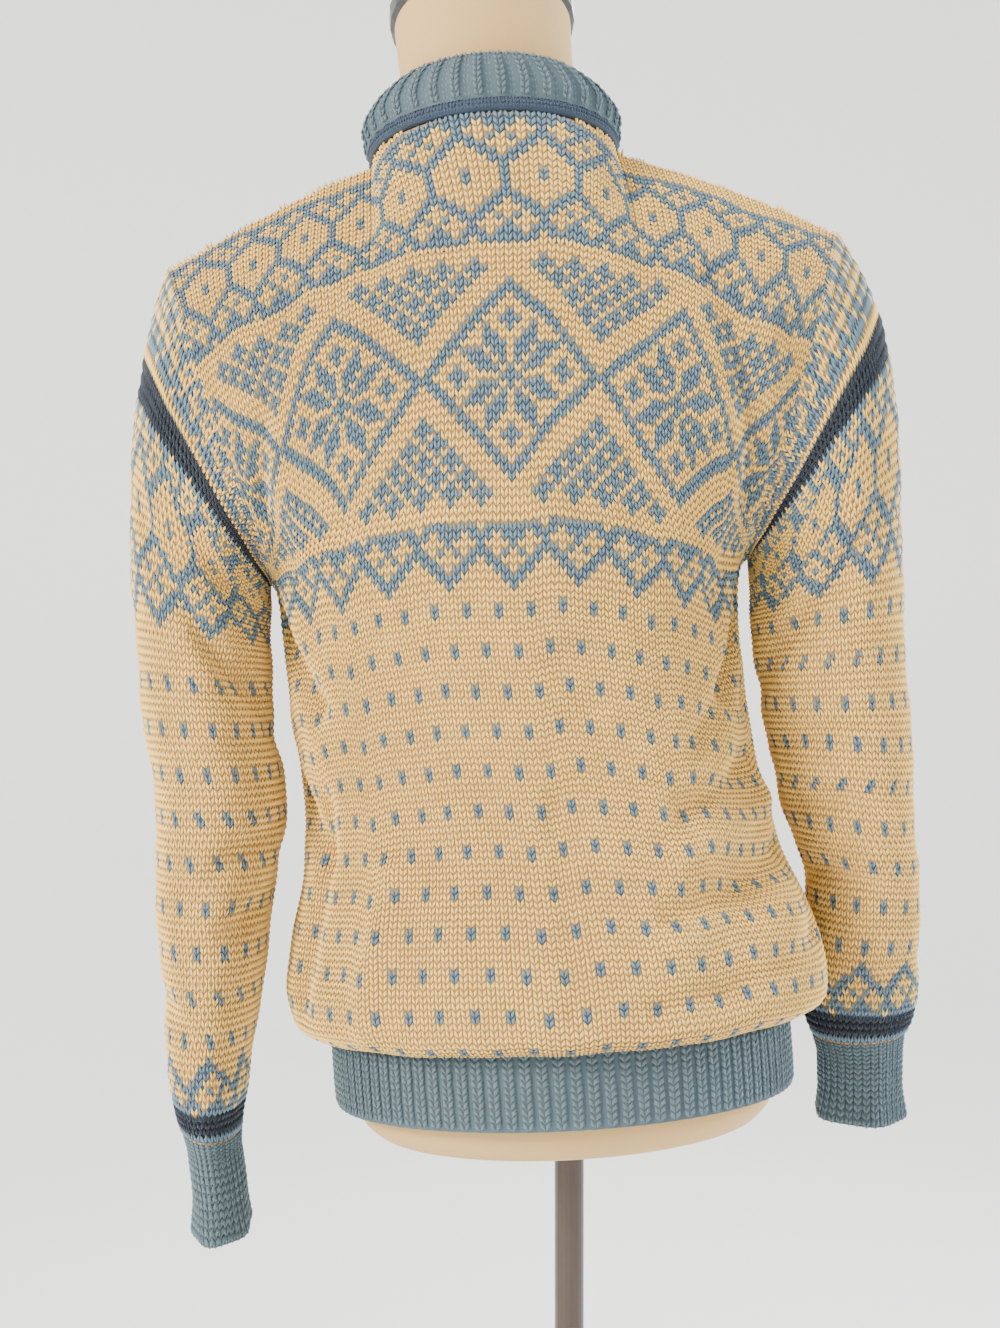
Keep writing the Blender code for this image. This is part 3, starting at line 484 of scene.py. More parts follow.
def sleeve_grids(name, angle):
    """A sleeve's outer and inner points, from the armhole down, and the distance down of each ring."""
    side = -1 if name == "left" else 1
    edge, edge_normals, share = armhole(side)
    start = leaned(edge)
    tip, pit = start[share.argmin()], start[share.argmax()]
    middle = (tip + pit) / 2
    reach = tip - pit
    first = (side * middle[0], 0.0, middle[2], math.degrees(math.atan2(reach[2], side * reach[0])),
             np.linalg.norm(reach) / 2, SLEEVE_TOP_DEPTH)
    table = [first] + SLEEVES[name]
    sections, places = sections_between(table, SLEEVE_ROWS + 1)
    rings = [ellipse_ring(side, section, angle) for section in sections]
    shift = start - rings[0]
    rings = [ring + shift * max(0.0, 1 - place / SLEEVE_TOP_BLEND) ** 2 for ring, place in zip(rings, places)]
    outer = np.stack(rings)
    around = np.roll(outer, -1, axis=1) - np.roll(outer, 1, axis=1)
    down = np.gradient(outer, axis=0)
    normals = unit(np.cross(around, down))
    centres = outer.mean(axis=1, keepdims=True)
    if ((outer - centres) * normals).sum() < 0:
        normals = -normals
    under = np.clip((share - 0.72) / 0.2, 0, 1)[:, None]
    normals[0] = unit((1 - under) * edge_normals + under * np.array([0, 0, -1.0]))
    sewn = unit(outer[1] - outer[0]) * SEAM * 1.2
    outer[0] += sewn
    return outer, outer - normals * WALL, places


def band_line(height, offset):
    """The middle of the front band at a height, and its direction out."""
    upper = [(z, y) for _, z, y in CENTRE_FRONT if z > BAND_LOWER[-1][0] + 0.010]
    table = BAND_LOWER + upper
    depth = smooth(table, 1, height)
    slope = (smooth(table, 1, height + 0.002) - smooth(table, 1, height - 0.002)) / 0.004
    normal = unit(np.stack([np.zeros_like(slope), np.ones_like(slope), -slope], axis=-1))
    point = np.stack([np.zeros_like(depth), depth, height], axis=-1)
    return point + normal * offset, normal


def round_section(half_width, back, front, power, angle):
    """A rounded section seen from above, with its own depth to the back and to the front."""
    cosine, sine = np.cos(angle), np.sin(angle)
    x = half_width * np.sign(sine) * np.abs(sine) ** (2 / power)
    y = np.where(cosine > 0, front, back) * np.sign(cosine) * np.abs(cosine) ** (2 / power)
    return x, y


def form_ring(row, angle):
    """A level ring round the form, which near the neck's top slopes down to the front."""
    height, half_width, back, front, power = row
    x, y = round_section(half_width, back, front, power, angle)
    slope = NECK_SLOPE * np.interp(height, SLOPE_HEIGHTS, (0, 1))
    return leaned(np.stack([x, y, height - slope * y], axis=-1))


def chart_row(row, wale):
    """The yarn at a wale of a chart row whose motifs repeat every 8 wales."""
    away = np.abs((wale + 4) % 8 - 4)
    return np.array([BLUE if mark == "#" else CREAM for mark in row])[away]


def lice(row, wale):
    """Single blue stitches, two rows high, in staggered rows."""
    shift = np.where((row // 6) % 2 == 0, 0, 2)
    return np.where((row % 6 >= 4) & ((wale + shift) % 4 == 0), BLUE, CREAM)


def star(across, up):
    """An eight-petalled star with a lozenge beyond each of its four arms, in a diamond two stitches thick."""
    x, y = np.abs(across), np.abs(up)
    low, high = np.minimum(x, y), np.maximum(x, y)
    petal = (low >= 1) & (low <= 3) & (high > low) & (high <= low + 3)
    lozenge = low + np.abs(high - 7) <= 1
    outline = (x + y >= 11) & (x + y <= 12)
    return petal | lozenge | outline | (x + y <= 1)


def checked_triangle(across, up):
    """Rows of little crosses between two diamonds, one at the tip and one more in each row beyond."""
    x, y = np.abs(across), np.abs(up)
    crosses = np.where(y % 2 == 0, (x + y) % 4 != 0, x % 2 == 0)
    arm = np.where(y % 2 == 0, 1, 0)
    top = np.where(y == 15, x % 4 == 0, True)
    return crosses & top & (y >= 5) & (y <= 15) & (x <= 2 * ((y - 5) // 2) + arm * (x % 4 != 0))


def body_yarn(row, wale):
    """The yarn of each stitch of the body, by its row from the hem and its wale from the middle."""
    row, wale = np.broadcast_arrays(row, wale)
    yarn = np.where(row < BORDER_ROW - 1, lice(row, wale), CREAM)
    for charts, first in ((BORDER, BORDER_ROW), (LATTICE, LATTICE_ROW)):
        for number, marks in enumerate(charts):
            here = row == first + number
            yarn = np.where(here, chart_row(marks, wale), yarn)
    up = row - DIAMOND_ROW
    near = (wale + REPEAT // 2) % REPEAT - REPEAT // 2
    between = (wale + REPEAT) % REPEAT - REPEAT // 2
    band = star(near, up) & (np.abs(up) <= 12) | checked_triangle(between, up)
    return np.where(band, BLUE, yarn)


def sleeve_chart():
    """The sleeve's rows from the shoulder down to the plain part, and from there to the cuff."""
    upper = [(marks, None) for marks in LATTICE[4::-1]]
    stripe = [(".....", None)] + 3 * [("#####", NAVY)]
    lower = [(marks, None) for marks in LATTICE[1:16] + BORDER[4::-1]]
    ending = [(marks, None) for marks in BORDER] + 3 * [("#####", NAVY)] + [("#####", None)]
    return upper + stripe + lower, ending


def sleeve_yarn(row, wale, rows):
    """The yarn of each stitch of a sleeve, by its row from the shoulder and its wale from the outer line."""
    row, wale = np.broadcast_arrays(row, wale)
    top, ending = sleeve_chart()
    yarn = lice(rows - row + 2, wale)
    yarn = np.where((row < len(top) + 2) | (row > rows - len(ending) - 2), CREAM, yarn)
    for charts, first in ((top, 0), (ending, rows - len(ending))):
        for number, (marks, colour) in enumerate(charts):
            marked = chart_row(marks, wale)
            if colour is not None:
                marked = np.full_like(marked, colour)
            yarn = np.where(row == first + number, marked, yarn)
    return yarn


def hex_colour(text):
    """A colour in linear light from its sRGB hex."""
    parts = np.array([int(text[i:i + 2], 16) for i in (1, 3, 5)]) / 255
    linear = np.where(parts <= 0.04045, parts / 12.92, ((parts + 0.055) / 1.055) ** 2.4)
    return (*map(float, linear), 1.0)


def node(tree, kind, settings=None, **links):
    """Adds a node, sets its properties, and fills its inputs with values or with other nodes' outputs."""
    made = tree.nodes.new(kind)
    for name, value in (settings or {}).items():
        setattr(made, name, value)
    for name, value in links.items():
        socket = made.inputs[int(name[1:])] if name[1:].isdigit() else made.inputs[name.replace("_", " ")]
        if isinstance(value, bpy.types.NodeSocket):
            tree.links.new(value, socket)
        else:
            socket.default_value = value
    return made


def new_material(name, roughness, **sockets):
    """A material, its tree and its shader, with the numbers that are the same all over set on the shader."""
    material = bpy.data.materials.new(name)
    material.use_nodes = True
    shader = material.node_tree.nodes["Principled BSDF"]
    shader.inputs["Roughness"].default_value = roughness
    for socket, value in sockets.items():
        shader.inputs[socket.replace("_", " ")].default_value = value
    return material, material.node_tree, shader


def shaded(tree, colour, shade, amount):
    """A colour times a shade that runs from darker to lighter by an amount either way."""
    span = (1 - amount, 1 + amount)
    level = node(tree, "ShaderNodeMapRange", _0=shade, _1=0.0, _2=1.0, _3=span[0], _4=span[1]).outputs[0]
    grey = node(tree, "ShaderNodeCombineColor", _0=level, _1=level, _2=level).outputs[0]
    kind = {"data_type": "RGBA", "blend_type": "MULTIPLY"}
    return node(tree, "ShaderNodeMix", kind, _0=1.0, _6=colour, _7=grey).outputs[2]


def coat(tree, shader, colour, relief, strength, depth):
    """Gives a shader its colour and a fine relief of a depth in metres."""
    tree.links.new(colour, shader.inputs["Base Color"])
    bump = node(tree, "ShaderNodeBump", Strength=strength, Distance=depth, Height=relief).outputs[0]
    tree.links.new(bump, shader.inputs["Normal"])


def wool(name, colour, fuzz=0.10):
    """Worsted wool, spun and knitted: a dry, matt face with a soft halo.

    Each stitch is a little lighter or darker, and so are wide patches. Real fibres are 0.02 mm thick, and are
    drawn at about 0.7 mm so that they show.
    """
    material, tree, shader = new_material(name, 0.92, Sheen_Weight=fuzz, Sheen_Roughness=0.6)
    place = node(tree, "ShaderNodeTexCoord").outputs["Object"]
    tone = node(tree, "ShaderNodeAttribute", {"attribute_name": "tone"}).outputs["Fac"]
    patches = node(tree, "ShaderNodeTexNoise", Vector=place, Scale=28.0, Detail=2.0).outputs[0]
    fibres = node(tree, "ShaderNodeTexNoise", Vector=place, Scale=1500.0, Detail=3.0).outputs[0]
    varied = hex_colour(colour)
    for shade, amount in ((tone, 0.07), (patches, 0.12), (fibres, 0.22)):
        varied = shaded(tree, varied, shade, amount)
    coat(tree, shader, varied, fibres, 0.6, 0.0003)
    return material


def ground_wool(name, colours):
    """Worsted wool in the depth between stitches: each yarn's colour, darker, with painted shade for the
    shade that falls between the stitches.
    """
    material, tree, shader = new_material(name, 0.95, Sheen_Weight=0.1)
    yarn = node(tree, "ShaderNodeAttribute", {"attribute_name": "yarn"}).outputs["Fac"]
    place = node(tree, "ShaderNodeTexCoord").outputs["Object"]
    fibres = node(tree, "ShaderNodeTexNoise", Vector=place, Scale=1200.0, Detail=3.0).outputs[0]
    ramp = node(tree, "ShaderNodeValToRGB")
    ramp.color_ramp.interpolation = "CONSTANT"
    while len(ramp.color_ramp.elements) < len(colours):
        ramp.color_ramp.elements.new(0.5)
    for number, colour in enumerate(colours):
        ramp.color_ramp.elements[number].position = max(0.0, (number - 0.5) / 2)
        ramp.color_ramp.elements[number].color = hex_colour(colour)
    half = node(tree, "ShaderNodeMath", {"operation": "MULTIPLY"}, _0=yarn, _1=0.5).outputs[0]
    tree.links.new(half, ramp.inputs[0])
    coat(tree, shader, shaded(tree, ramp.outputs[0], fibres, 0.2), fibres, 0.5, 0.0004)
    return material


def added(name, data):
    """A new object in the scene."""
    made = bpy.data.objects.new(name, data)
    bpy.context.scene.collection.objects.link(made)
    return made


def ring_faces(rings, sides, first=0):
    """The faces between closed rings of points that follow each other from a first point."""
    faces = []
    for r in range(rings - 1):
        for c in range(sides):
            a = first + r * sides + c
            b = first + r * sides + (c + 1) % sides
            faces.append((a, b, b + sides, a + sides))
    return faces


def turned_body(rings):
    """The points and faces of a body between closed rings, with both ends closed."""
    points = np.concatenate(rings)
    sides = len(rings[0])
    faces = [tuple(reversed(range(sides))), tuple(range(len(points) - sides, len(points)))]
    return points, faces + ring_faces(len(rings), sides)


def run_along(points, axis):
    """The distance along each line of a grid of points, from 0 at its start."""
    steps = np.linalg.norm(np.diff(points, axis=axis), axis=2)
    start = np.zeros_like(np.take(steps, [0], axis=axis))
    return np.concatenate([start, np.cumsum(steps, axis=axis)], axis=axis)


def plain_object(name, points, faces, material):
    """One mesh whose faces point out, shaded smooth."""
    mesh = bpy.data.meshes.new(name)
    mesh.from_pydata(np.asarray(points, float).tolist(), [], [list(map(int, f)) for f in faces])
    mesh.update()
    volume = 0.0
    for polygon in mesh.polygons:
        centre = np.array(polygon.center)
        volume += float(centre @ np.array(polygon.normal)) * polygon.area
    if volume < 0:
        mesh.flip_normals()
    mesh.shade_smooth()
    mesh.set_sharp_from_angle(angle=math.radians(50))
    mesh.materials.append(material)
    return added(name, mesh)


def shell(name, outer, inner, material, ring=False, yarn=None):
    """A closed thin wall between two grids of the same size, with the yarn of each outer point."""
    rows, columns = outer.shape[:2]
    points = np.concatenate([outer.reshape(-1, 3), inner.reshape(-1, 3)])
    inside = rows * columns
    span = columns if ring else columns - 1
    r, c = np.meshgrid(np.arange(rows - 1), np.arange(span), indexing="ij")
    a, b = (r * columns + c).ravel(), (r * columns + (c + 1) % columns).ravel()
    faces = [*zip(a, b, b + columns, a + columns)]
    faces += [*zip(inside + a + columns, inside + b + columns, inside + b, inside + a)]
    for c in range(span):
        d = (c + 1) % columns
        top = inside - columns
        faces.append((c, inside + c, inside + d, d))
        faces.append((top + c, top + d, inside + top + d, inside + top + c))
    if not ring:
        for r in range(rows - 1):
            low, high = r * columns, (r + 1) * columns
            faces.append((low, high, inside + high, inside + low))
            low, high = low + columns - 1, high + columns - 1
            faces.append((low, inside + low, inside + high, high))
    made = plain_object(name, points, faces, material)
    if yarn is not None:
        layer = made.data.attributes.new("yarn", "FLOAT", "POINT")
        both = np.concatenate([yarn.ravel(), yarn.ravel()]).astype(np.float32)
        layer.data.foreach_set("value", both)
    return made


def stitch_shape():
    """A knit stitch in a unit cell: two leaning legs, thick in the middle, that tuck under the row above."""
    points, faces = [], []
    for side in (-1, 1):
        low = np.array([side * 0.01, -0.36, -0.05])
        middle = np.array([side * 0.25, 0.36, 0.07])
        high = np.array([side * 0.44, 1.10, -0.04])
        out = np.array([side * 0.20, -0.08, 0.0])
        first = len(points)
        crest = middle + np.array([0, 0.04, 0.17])
        back = middle - np.array([0, 0, 0.20])
        ring = [middle + out, crest, middle - out, back]
        points += [low, *ring, high]
        for c in range(4):
            d = (c + 1) % 4
            faces.append((first, first + 1 + c, first + 1 + d))
            faces.append((first + 5, first + 1 + d, first + 1 + c))
    mesh = bpy.data.meshes.new("stitch")
    mesh.from_pydata([tuple(map(float, p)) for p in points], [], faces)
    mesh.update()
    heart = (mesh.vertices[1].co + mesh.vertices[3].co) / 2
    if mesh.polygons[0].normal @ (mesh.polygons[0].center - heart) < 0:
        mesh.flip_normals()
    mesh.shade_smooth()
    return bpy.data.objects.new("stitch", mesh)


def stitch_tree():
    """Sets a stitch on every point, turned and sized by the point's attributes, as one mesh of one yarn."""
    tree = bpy.data.node_groups.new("knit_stitches", "GeometryNodeTree")
    for label, kind in (("Geometry", "Geometry"), ("Stitch", "Object"), ("Yarn", "Material"), ("Seed", "Int"),
                        ("Uneven", "Float")):
        tree.interface.new_socket(name=label, in_out="INPUT", socket_type="NodeSocket" + kind)
    tree.interface.new_socket(name="Geometry", in_out="OUTPUT", socket_type="NodeSocketGeometry")
    given = tree.nodes.new("NodeGroupInput").outputs
    vector = {"data_type": "FLOAT_VECTOR"}
    scale = {"operation": "SCALE"}
    turn = node(tree, "GeometryNodeInputNamedAttribute", vector, Name="turn").outputs[0]
    size = node(tree, "GeometryNodeInputNamedAttribute", vector, Name="size").outputs[0]
    spread = node(tree, "ShaderNodeVectorMath", scale, _0=(1.0, 1.0, 1.0), _3=given["Uneven"]).outputs[0]
    back = node(tree, "ShaderNodeVectorMath", scale, _0=(-1.0, -1.0, -1.0), _3=given["Uneven"]).outputs[0]
    random = node(tree, "FunctionNodeRandomValue", vector, _0=back, _1=spread, _8=given["Seed"]).outputs[0]
    uneven = node(tree, "ShaderNodeVectorMath", {"operation": "MULTIPLY_ADD"}, _0=random, _1=size, _2=size)
    rotation = node(tree, "FunctionNodeEulerToRotation", _0=turn).outputs[0]
    stitch = node(tree, "GeometryNodeObjectInfo", Object=given["Stitch"], As_Instance=True)
    placed = node(tree, "GeometryNodeInstanceOnPoints", Points=given["Geometry"],
                  Instance=stitch.outputs["Geometry"], Rotation=rotation, Scale=uneven.outputs[0])
    real = node(tree, "GeometryNodeRealizeInstances", Geometry=placed.outputs[0])
    coloured = node(tree, "GeometryNodeSetMaterial", Geometry=real.outputs[0], Material=given["Yarn"])
    out = tree.nodes.new("NodeGroupOutput")
    tree.links.new(coloured.outputs[0], out.inputs[0])
    return tree


def turns_of(across, up):
    """The Euler turns that lay a stitch along its wale, with its face out of the cloth."""
    y = unit(up)
    z = unit(np.cross(across, y))
    x = np.cross(y, z)
    return np.stack([np.arctan2(y[..., 2], z[..., 2]), -np.arcsin(np.clip(x[..., 2], -1, 1)),
                     np.arctan2(x[..., 1], x[..., 0])], axis=-1)


def stitches(name, places, across, up, width, height, yarn, group):
    """A piece of many stitches. across and up are the cloth's directions at each place.

    group holds the tree that sets the stitches, the one stitch, and a fixed seed.
    """
    tree, stitch, seed = group
    count = len(places)
    mesh = bpy.data.meshes.new(name + "_points")
    mesh.from_pydata(np.asarray(places, float).tolist(), [], [])
    size = np.stack([np.broadcast_to(side, count) for side in (width, height, STITCH_THICK)], axis=-1)
    for label, values in (("turn", turns_of(across, up)), ("size", size)):
        layer = mesh.attributes.new(label, "FLOAT_VECTOR", "POINT")
        layer.data.foreach_set("vector", np.ascontiguousarray(values, np.float32).ravel())
    tone = np.random.default_rng(seed).random(count).astype(np.float32)
    mesh.attributes.new("tone", "FLOAT", "POINT").data.foreach_set("value", tone)
    source = added(name + "_points", mesh)
    modifier = source.modifiers.new("stitches", "NODES")
    modifier.node_group = tree
    keys = {item.name: item.identifier for item in tree.interface.items_tree if item.in_out == "INPUT"}
    for label, value in (("Stitch", stitch), ("Yarn", yarn), ("Seed", seed), ("Uneven", UNEVEN)):
        modifier[keys[label]] = value
    graph = bpy.context.evaluated_depsgraph_get()
    graph.update()
    made = bpy.data.meshes.new_from_object(source.evaluated_get(graph), depsgraph=graph)
    made.name = name
    for spare in ("turn", "size"):
        if spare in made.attributes:
            made.attributes.remove(made.attributes[spare])
    bpy.data.objects.remove(source, do_unlink=True)
    return added(name, made)


def droop(across, spot):
    """How much lower a row of stitches lies at a wale than at the middle of the panel."""
    share = np.clip((spot - DROOP_START) / DROOP_RUN, 0, 1)
    return DROOP * np.abs(across) ** 1.7 * share * share * (3 - 2 * share)


def row_places():
    """The distance of every row of stitches from the hem's rib, up a wale, and each row's height."""
    bands = ((PLAIN_ROWS, PLAIN_PITCH), (MIDDLE_ROWS, MIDDLE_PITCH), (YOKE_ROWS, YOKE_PITCH))
    steps = np.concatenate([np.full(count, pitch) for count, pitch in bands])
    return np.cumsum(steps) - steps / 2, steps


def cloth(face, across, row):
    """The outer points of the body's cloth with all its folds, and the directions out of it."""
    points = body(face, across, row)
    normals = body_normal(face, across, row)
    lift = (fold_depth(face, across, row) + slack(points)) * fade(face, across, row)
    return leaned(points + normals * lift[..., None]), normals


def slack(points):
    """Small soft unevenness of hanging knit cloth."""
    x, y, z = points[..., 0], points[..., 1], points[..., 2]
    waves = np.sin(61 * x + 17 * z + 1.3) * np.sin(47 * z - 23 * x + 9 * y + 0.4)
    return 0.0011 * waves + 0.0006 * np.sin(139 * x - 57 * z + 2.1) * np.sin(111 * z + 31 * y)


def body_stitches(face, wales):
    """The places, directions, sizes and yarns of a panel's stitches, row by row up each wale."""
    across = (wales + 0.5) / HALF_WALES
    rows = np.linspace(0, PANEL_LENGTH - SEAM, PANEL_SAMPLES)
    grid, _ = cloth(face, across[None, :], rows[:, None])
    up = np.gradient(grid, axis=0)
    half = 0.5 / HALF_WALES
    beside, _ = cloth(face, np.clip(across[None, :] + half, -1, 1), rows[:, None])
    other, _ = cloth(face, np.clip(across[None, :] - half, -1, 1), rows[:, None])
    span = beside - other
    run = run_along(grid, 0)
    spots, _ = row_places()
    found = []
    for column, wale in enumerate(wales):
        lowered = spots - droop(across[column], spots)
        keep = lowered < run[-1, column] - PLAIN_PITCH * 0.3
        at = np.interp(lowered[keep], run[:, column], np.arange(len(rows)))
        low = np.clip(at.astype(int), 0, len(rows) - 2)
        share = (at - low)[:, None]
        place, direction, wide = (values[low, column] * (1 - share) + values[low + 1, column] * share
                                  for values in (grid, up, span))
        number = np.flatnonzero(keep)
        found.append((place, direction, wide, np.gradient(lowered)[keep], body_yarn(number, wale)))
    place, direction, wide, height, yarn = (np.concatenate(part) for part in zip(*found))
    wide = wide if face == "back" else -wide
    return place, wide, direction, np.linalg.norm(wide, axis=1), height, yarn


def panel_ground(face, across):
    """The outer and inner points of the wall under a panel's stitches, and its yarn at each point."""
    spots, steps = row_places()
    even = np.linspace(0, PANEL_LENGTH - SEAM, PANEL_SAMPLES)
    middle, _ = cloth("back", np.zeros(1), even[:, None])
    along = run_along(middle, 0)[:, 0]
    rows = np.interp(spots[spots < along[-1]], along, even)
    rows = np.concatenate([[0], rows, [PANEL_LENGTH - SEAM]])
    outer, normals = cloth(face, across[None, :], rows[:, None])
    run = run_along(outer, 0)
    number = np.searchsorted(spots + steps / 2, run + droop(across, run))
    wale = np.floor(across * HALF_WALES).astype(int)
    yarn = body_yarn(number, np.broadcast_to(wale, number.shape))
    return outer - normals * GROUND, outer - normals * WALL, yarn


def crease_depth(name, down, angle):
    """How far a sleeve's creases move its cloth, by the distance down and the turn round it."""
    total = np.zeros(np.broadcast(down, angle).shape)
    turn = (np.degrees(angle) + 180) % 360 - 180
    for down_0, turn_0, down_1, turn_1, width, depth in CREASES[name]:
        start = np.array([down_0, math.radians(turn_0) * ARM_RADIUS])
        end = np.array([down_1, math.radians(turn_1) * ARM_RADIUS])
        for wrap in (-360, 0, 360):
            away, share = from_line(down, np.radians(turn + wrap) * ARM_RADIUS, start, end)
            taper = np.sin(math.pi * np.clip(share, 0.12, 0.88))
            total = total + depth * np.exp(-((away / width) ** 2)) * taper
    return total


def smooth_sleeve(name):
    """A sleeve's outer points, ring by ring down from the armhole, and the directions out of it."""
    angle = np.arange(2 * ARMHOLE_ROWS) / ARMHOLE_ROWS * math.pi
    outer, inner, places = sleeve_grids(name, angle)
    normals = unit(outer - inner)
    ends = np.clip(places / 0.03, 0, 1) * np.clip((places[-1] - places) / 0.012, 0, 1)
    lift = (crease_depth(name, places[:, None], angle[None, :]) + slack(outer)) * ends[:, None]
    return outer + normals * lift[..., None], normals, places


def sleeve_stitches(name):
    """The places, directions, sizes and yarns of a sleeve's stitches, counted from its outer line."""
    outward = 1 if name == "left" else -1
    outer, _, places = smooth_sleeve(name)
    closed = np.concatenate([outer, outer[:, :1]], axis=1)
    rows = int(places[-1] / SLEEVE_PITCH)
    at = (np.arange(rows) + 0.5) / rows * (len(places) - 1)
    low = np.clip(at.astype(int), 0, len(places) - 2)
    share = (at - low)[:, None, None]
    rings = closed[low] * (1 - share) + closed[low + 1] * share
    rise = closed[low] - closed[low + 1]
    height = np.linalg.norm(rise, axis=2) * (len(places) - 1) / rows
    run = run_along(rings, 1)
    found = []
    for row in range(rows):
        half = run[row, -1] / 2
        count = int(half / SLEEVE_WALE)
        width = half / (count + 0.02)
        wale = np.arange(-count, count)
        spot = np.interp(((wale + 0.5) * width) % run[row, -1], run[row], np.arange(run.shape[1]))
        first = np.clip(spot.astype(int), 0, run.shape[1] - 2)
        part = (spot - first)[:, None]
        place, up = (values[row, first] * (1 - part) + values[row, first + 1] * part
                     for values in (rings, rise))
        across = (rings[row, first + 1] - rings[row, first]) * outward
        tall = np.interp(spot, np.arange(run.shape[1]), height[row])
        found.append((place, across, up, np.full(len(wale), width), tall,
                      sleeve_yarn(np.full(len(wale), row), wale, rows)))
    return [np.concatenate(part) for part in zip(*found)], rows


def sleeve_ground(name, material, rows):
    """The closed wall under a sleeve's stitches, with its yarn at each point."""
    outer, normals, places = smooth_sleeve(name)
    run = run_along(np.concatenate([outer, outer[:, :1]], axis=1), 1)
    middle = run[:, -1:] / 2
    signed = np.where(run[:, :-1] > middle, run[:, :-1] - run[:, -1:], run[:, :-1])
    width = middle / (np.floor(middle / SLEEVE_WALE) + 0.02)
    wale = np.floor(signed / width).astype(int)
    row = np.broadcast_to((places / places[-1] * rows).astype(int)[:, None], wale.shape)
    return shell(name + "_sleeve_ground", outer - normals * GROUND, outer - normals * WALL, material,
                 ring=True, yarn=sleeve_yarn(row, wale, rows))


def rib_columns(points, ribs):
    """How far each point round a ribbed edge stands out: a wave, full on the ribs and low in the furrows."""
    share = np.linspace(0, 1, points)
    return RIB_RISE * (0.5 - 0.5 * np.cos(2 * math.pi * ribs * share))


def rib_stitches(name, grid, width, yarn, group, across=None):
    """A column of stitches on each rib. grid holds their places, row by row upwards."""
    up = np.gradient(grid, axis=0)
    if across is None:
        across = np.gradient(grid, axis=1)
    height = np.linalg.norm(up, axis=2)
    flat = [values.reshape(-1, 3) for values in (grid, across, up)]
    return stitches(name, *flat, width, height.ravel(), yarn, group)


def table_row(table, at):
    """A row of a table, read smoothly between its rows, with the rows numbered from 0."""
    keyed = [(float(number), *row) for number, row in enumerate(table)]
    return tuple(float(smooth(keyed, column + 1, at)) for column in range(len(table[0])))


def cuff_ring(name, at, angle, rise):
    """A ring of a cuff at a row of its table, with its end flared in soft waves."""
    side = -1 if name == "left" else 1
    ring = ellipse_ring(side, table_row(CUFFS[name], at), angle)
    away = unit(ring - ring.mean(axis=0))
    flare = max(0.0, at - 2.0) * 0.0016 * np.sin(5 * angle + 0.7)
    return ring + away * (rise + flare)[:, None], away


def make_knit_cuff(name, wool_under, wool_over, group):
    """A ribbed cuff with a column of stitches on each rib, and its end in soft waves."""
    count = 6 * CUFF_RIBS
    angle = np.arange(count) / count * 2 * math.pi
    wave = 0.5 - 0.5 * np.cos(CUFF_RIBS * angle)
    outer, inner = [], []
    for at in np.linspace(0, 3, 16):
        full = np.interp(at, range(4), CUFF_FULLNESS)
        ring, away = cuff_ring(name, at, angle, RIB_RISE * wave * full)
        low, _ = cuff_ring(name, at, angle, np.zeros(count))
        outer.append(ring)
        inner.append(low - away * WALL * CUFF_BACKING)
    cuff = shell(name + "_cuff_rib", np.stack(outer), np.stack(inner), wool_under, ring=True)
    ribs = (np.arange(CUFF_RIBS) + 0.5) / CUFF_RIBS * 2 * math.pi
    rows = []
    for at in np.linspace(2.96, 0.06, 15):
        full = np.interp(at, range(4), CUFF_FULLNESS)
        rows.append(cuff_ring(name, at, ribs, np.full(CUFF_RIBS, RIB_RISE * full))[0])
    grid = np.stack(rows)
    across = (np.roll(grid, -1, axis=1) - np.roll(grid, 1, axis=1)) * (1 if name == "left" else -1)
    return cuff, rib_stitches(name + "_cuff_stitches", grid, CUFF_STITCH, wool_over, group, across)


def make_knit_hem(wool_under, wool_over, group):
    """The ribbed hem, open at the front, with a column of stitches on each rib."""
    gap = BESIDE_BAND / HEM_HALF_WIDTH
    count = 8 * HEM_RIBS + 1
    angle = np.linspace(gap, 2 * math.pi - gap, count)
    rise = rib_columns(count, HEM_RIBS)
    tall = RIB_TOP - HEM_HEIGHT
    heights = np.linspace(0, tall, 9)
    full = np.interp(heights, [0, 0.012, 0.045, tall], [0.55, 1.0, 1.0, 0.3])
    outer = np.stack([hem_line(angle, h, rise * f) for h, f in zip(heights, full)])
    inner = np.stack([hem_line(angle, h, -WALL * HEM_BACKING) for h in heights])
    hem = shell("hem_rib_cloth", leaned(outer), leaned(inner), wool_under)
    ribs = gap + (np.arange(HEM_RIBS) + 0.5) / HEM_RIBS * (2 * math.pi - 2 * gap)
    rows = (np.arange(14) + 0.5) / 14 * tall
    grid = leaned(np.stack([hem_line(ribs, h, RIB_RISE * np.interp(h, heights, full)) for h in rows]))
    return hem, rib_stitches("hem_rib_stitches", grid[:, ::-1], HEM_STITCH, wool_over, group)


def neck_angles(shares):
    """Turns round the neck from one front band to the other, 0 at the middle of the front."""
    return NECK_GAP + shares * (2 * math.pi - 2 * NECK_GAP)


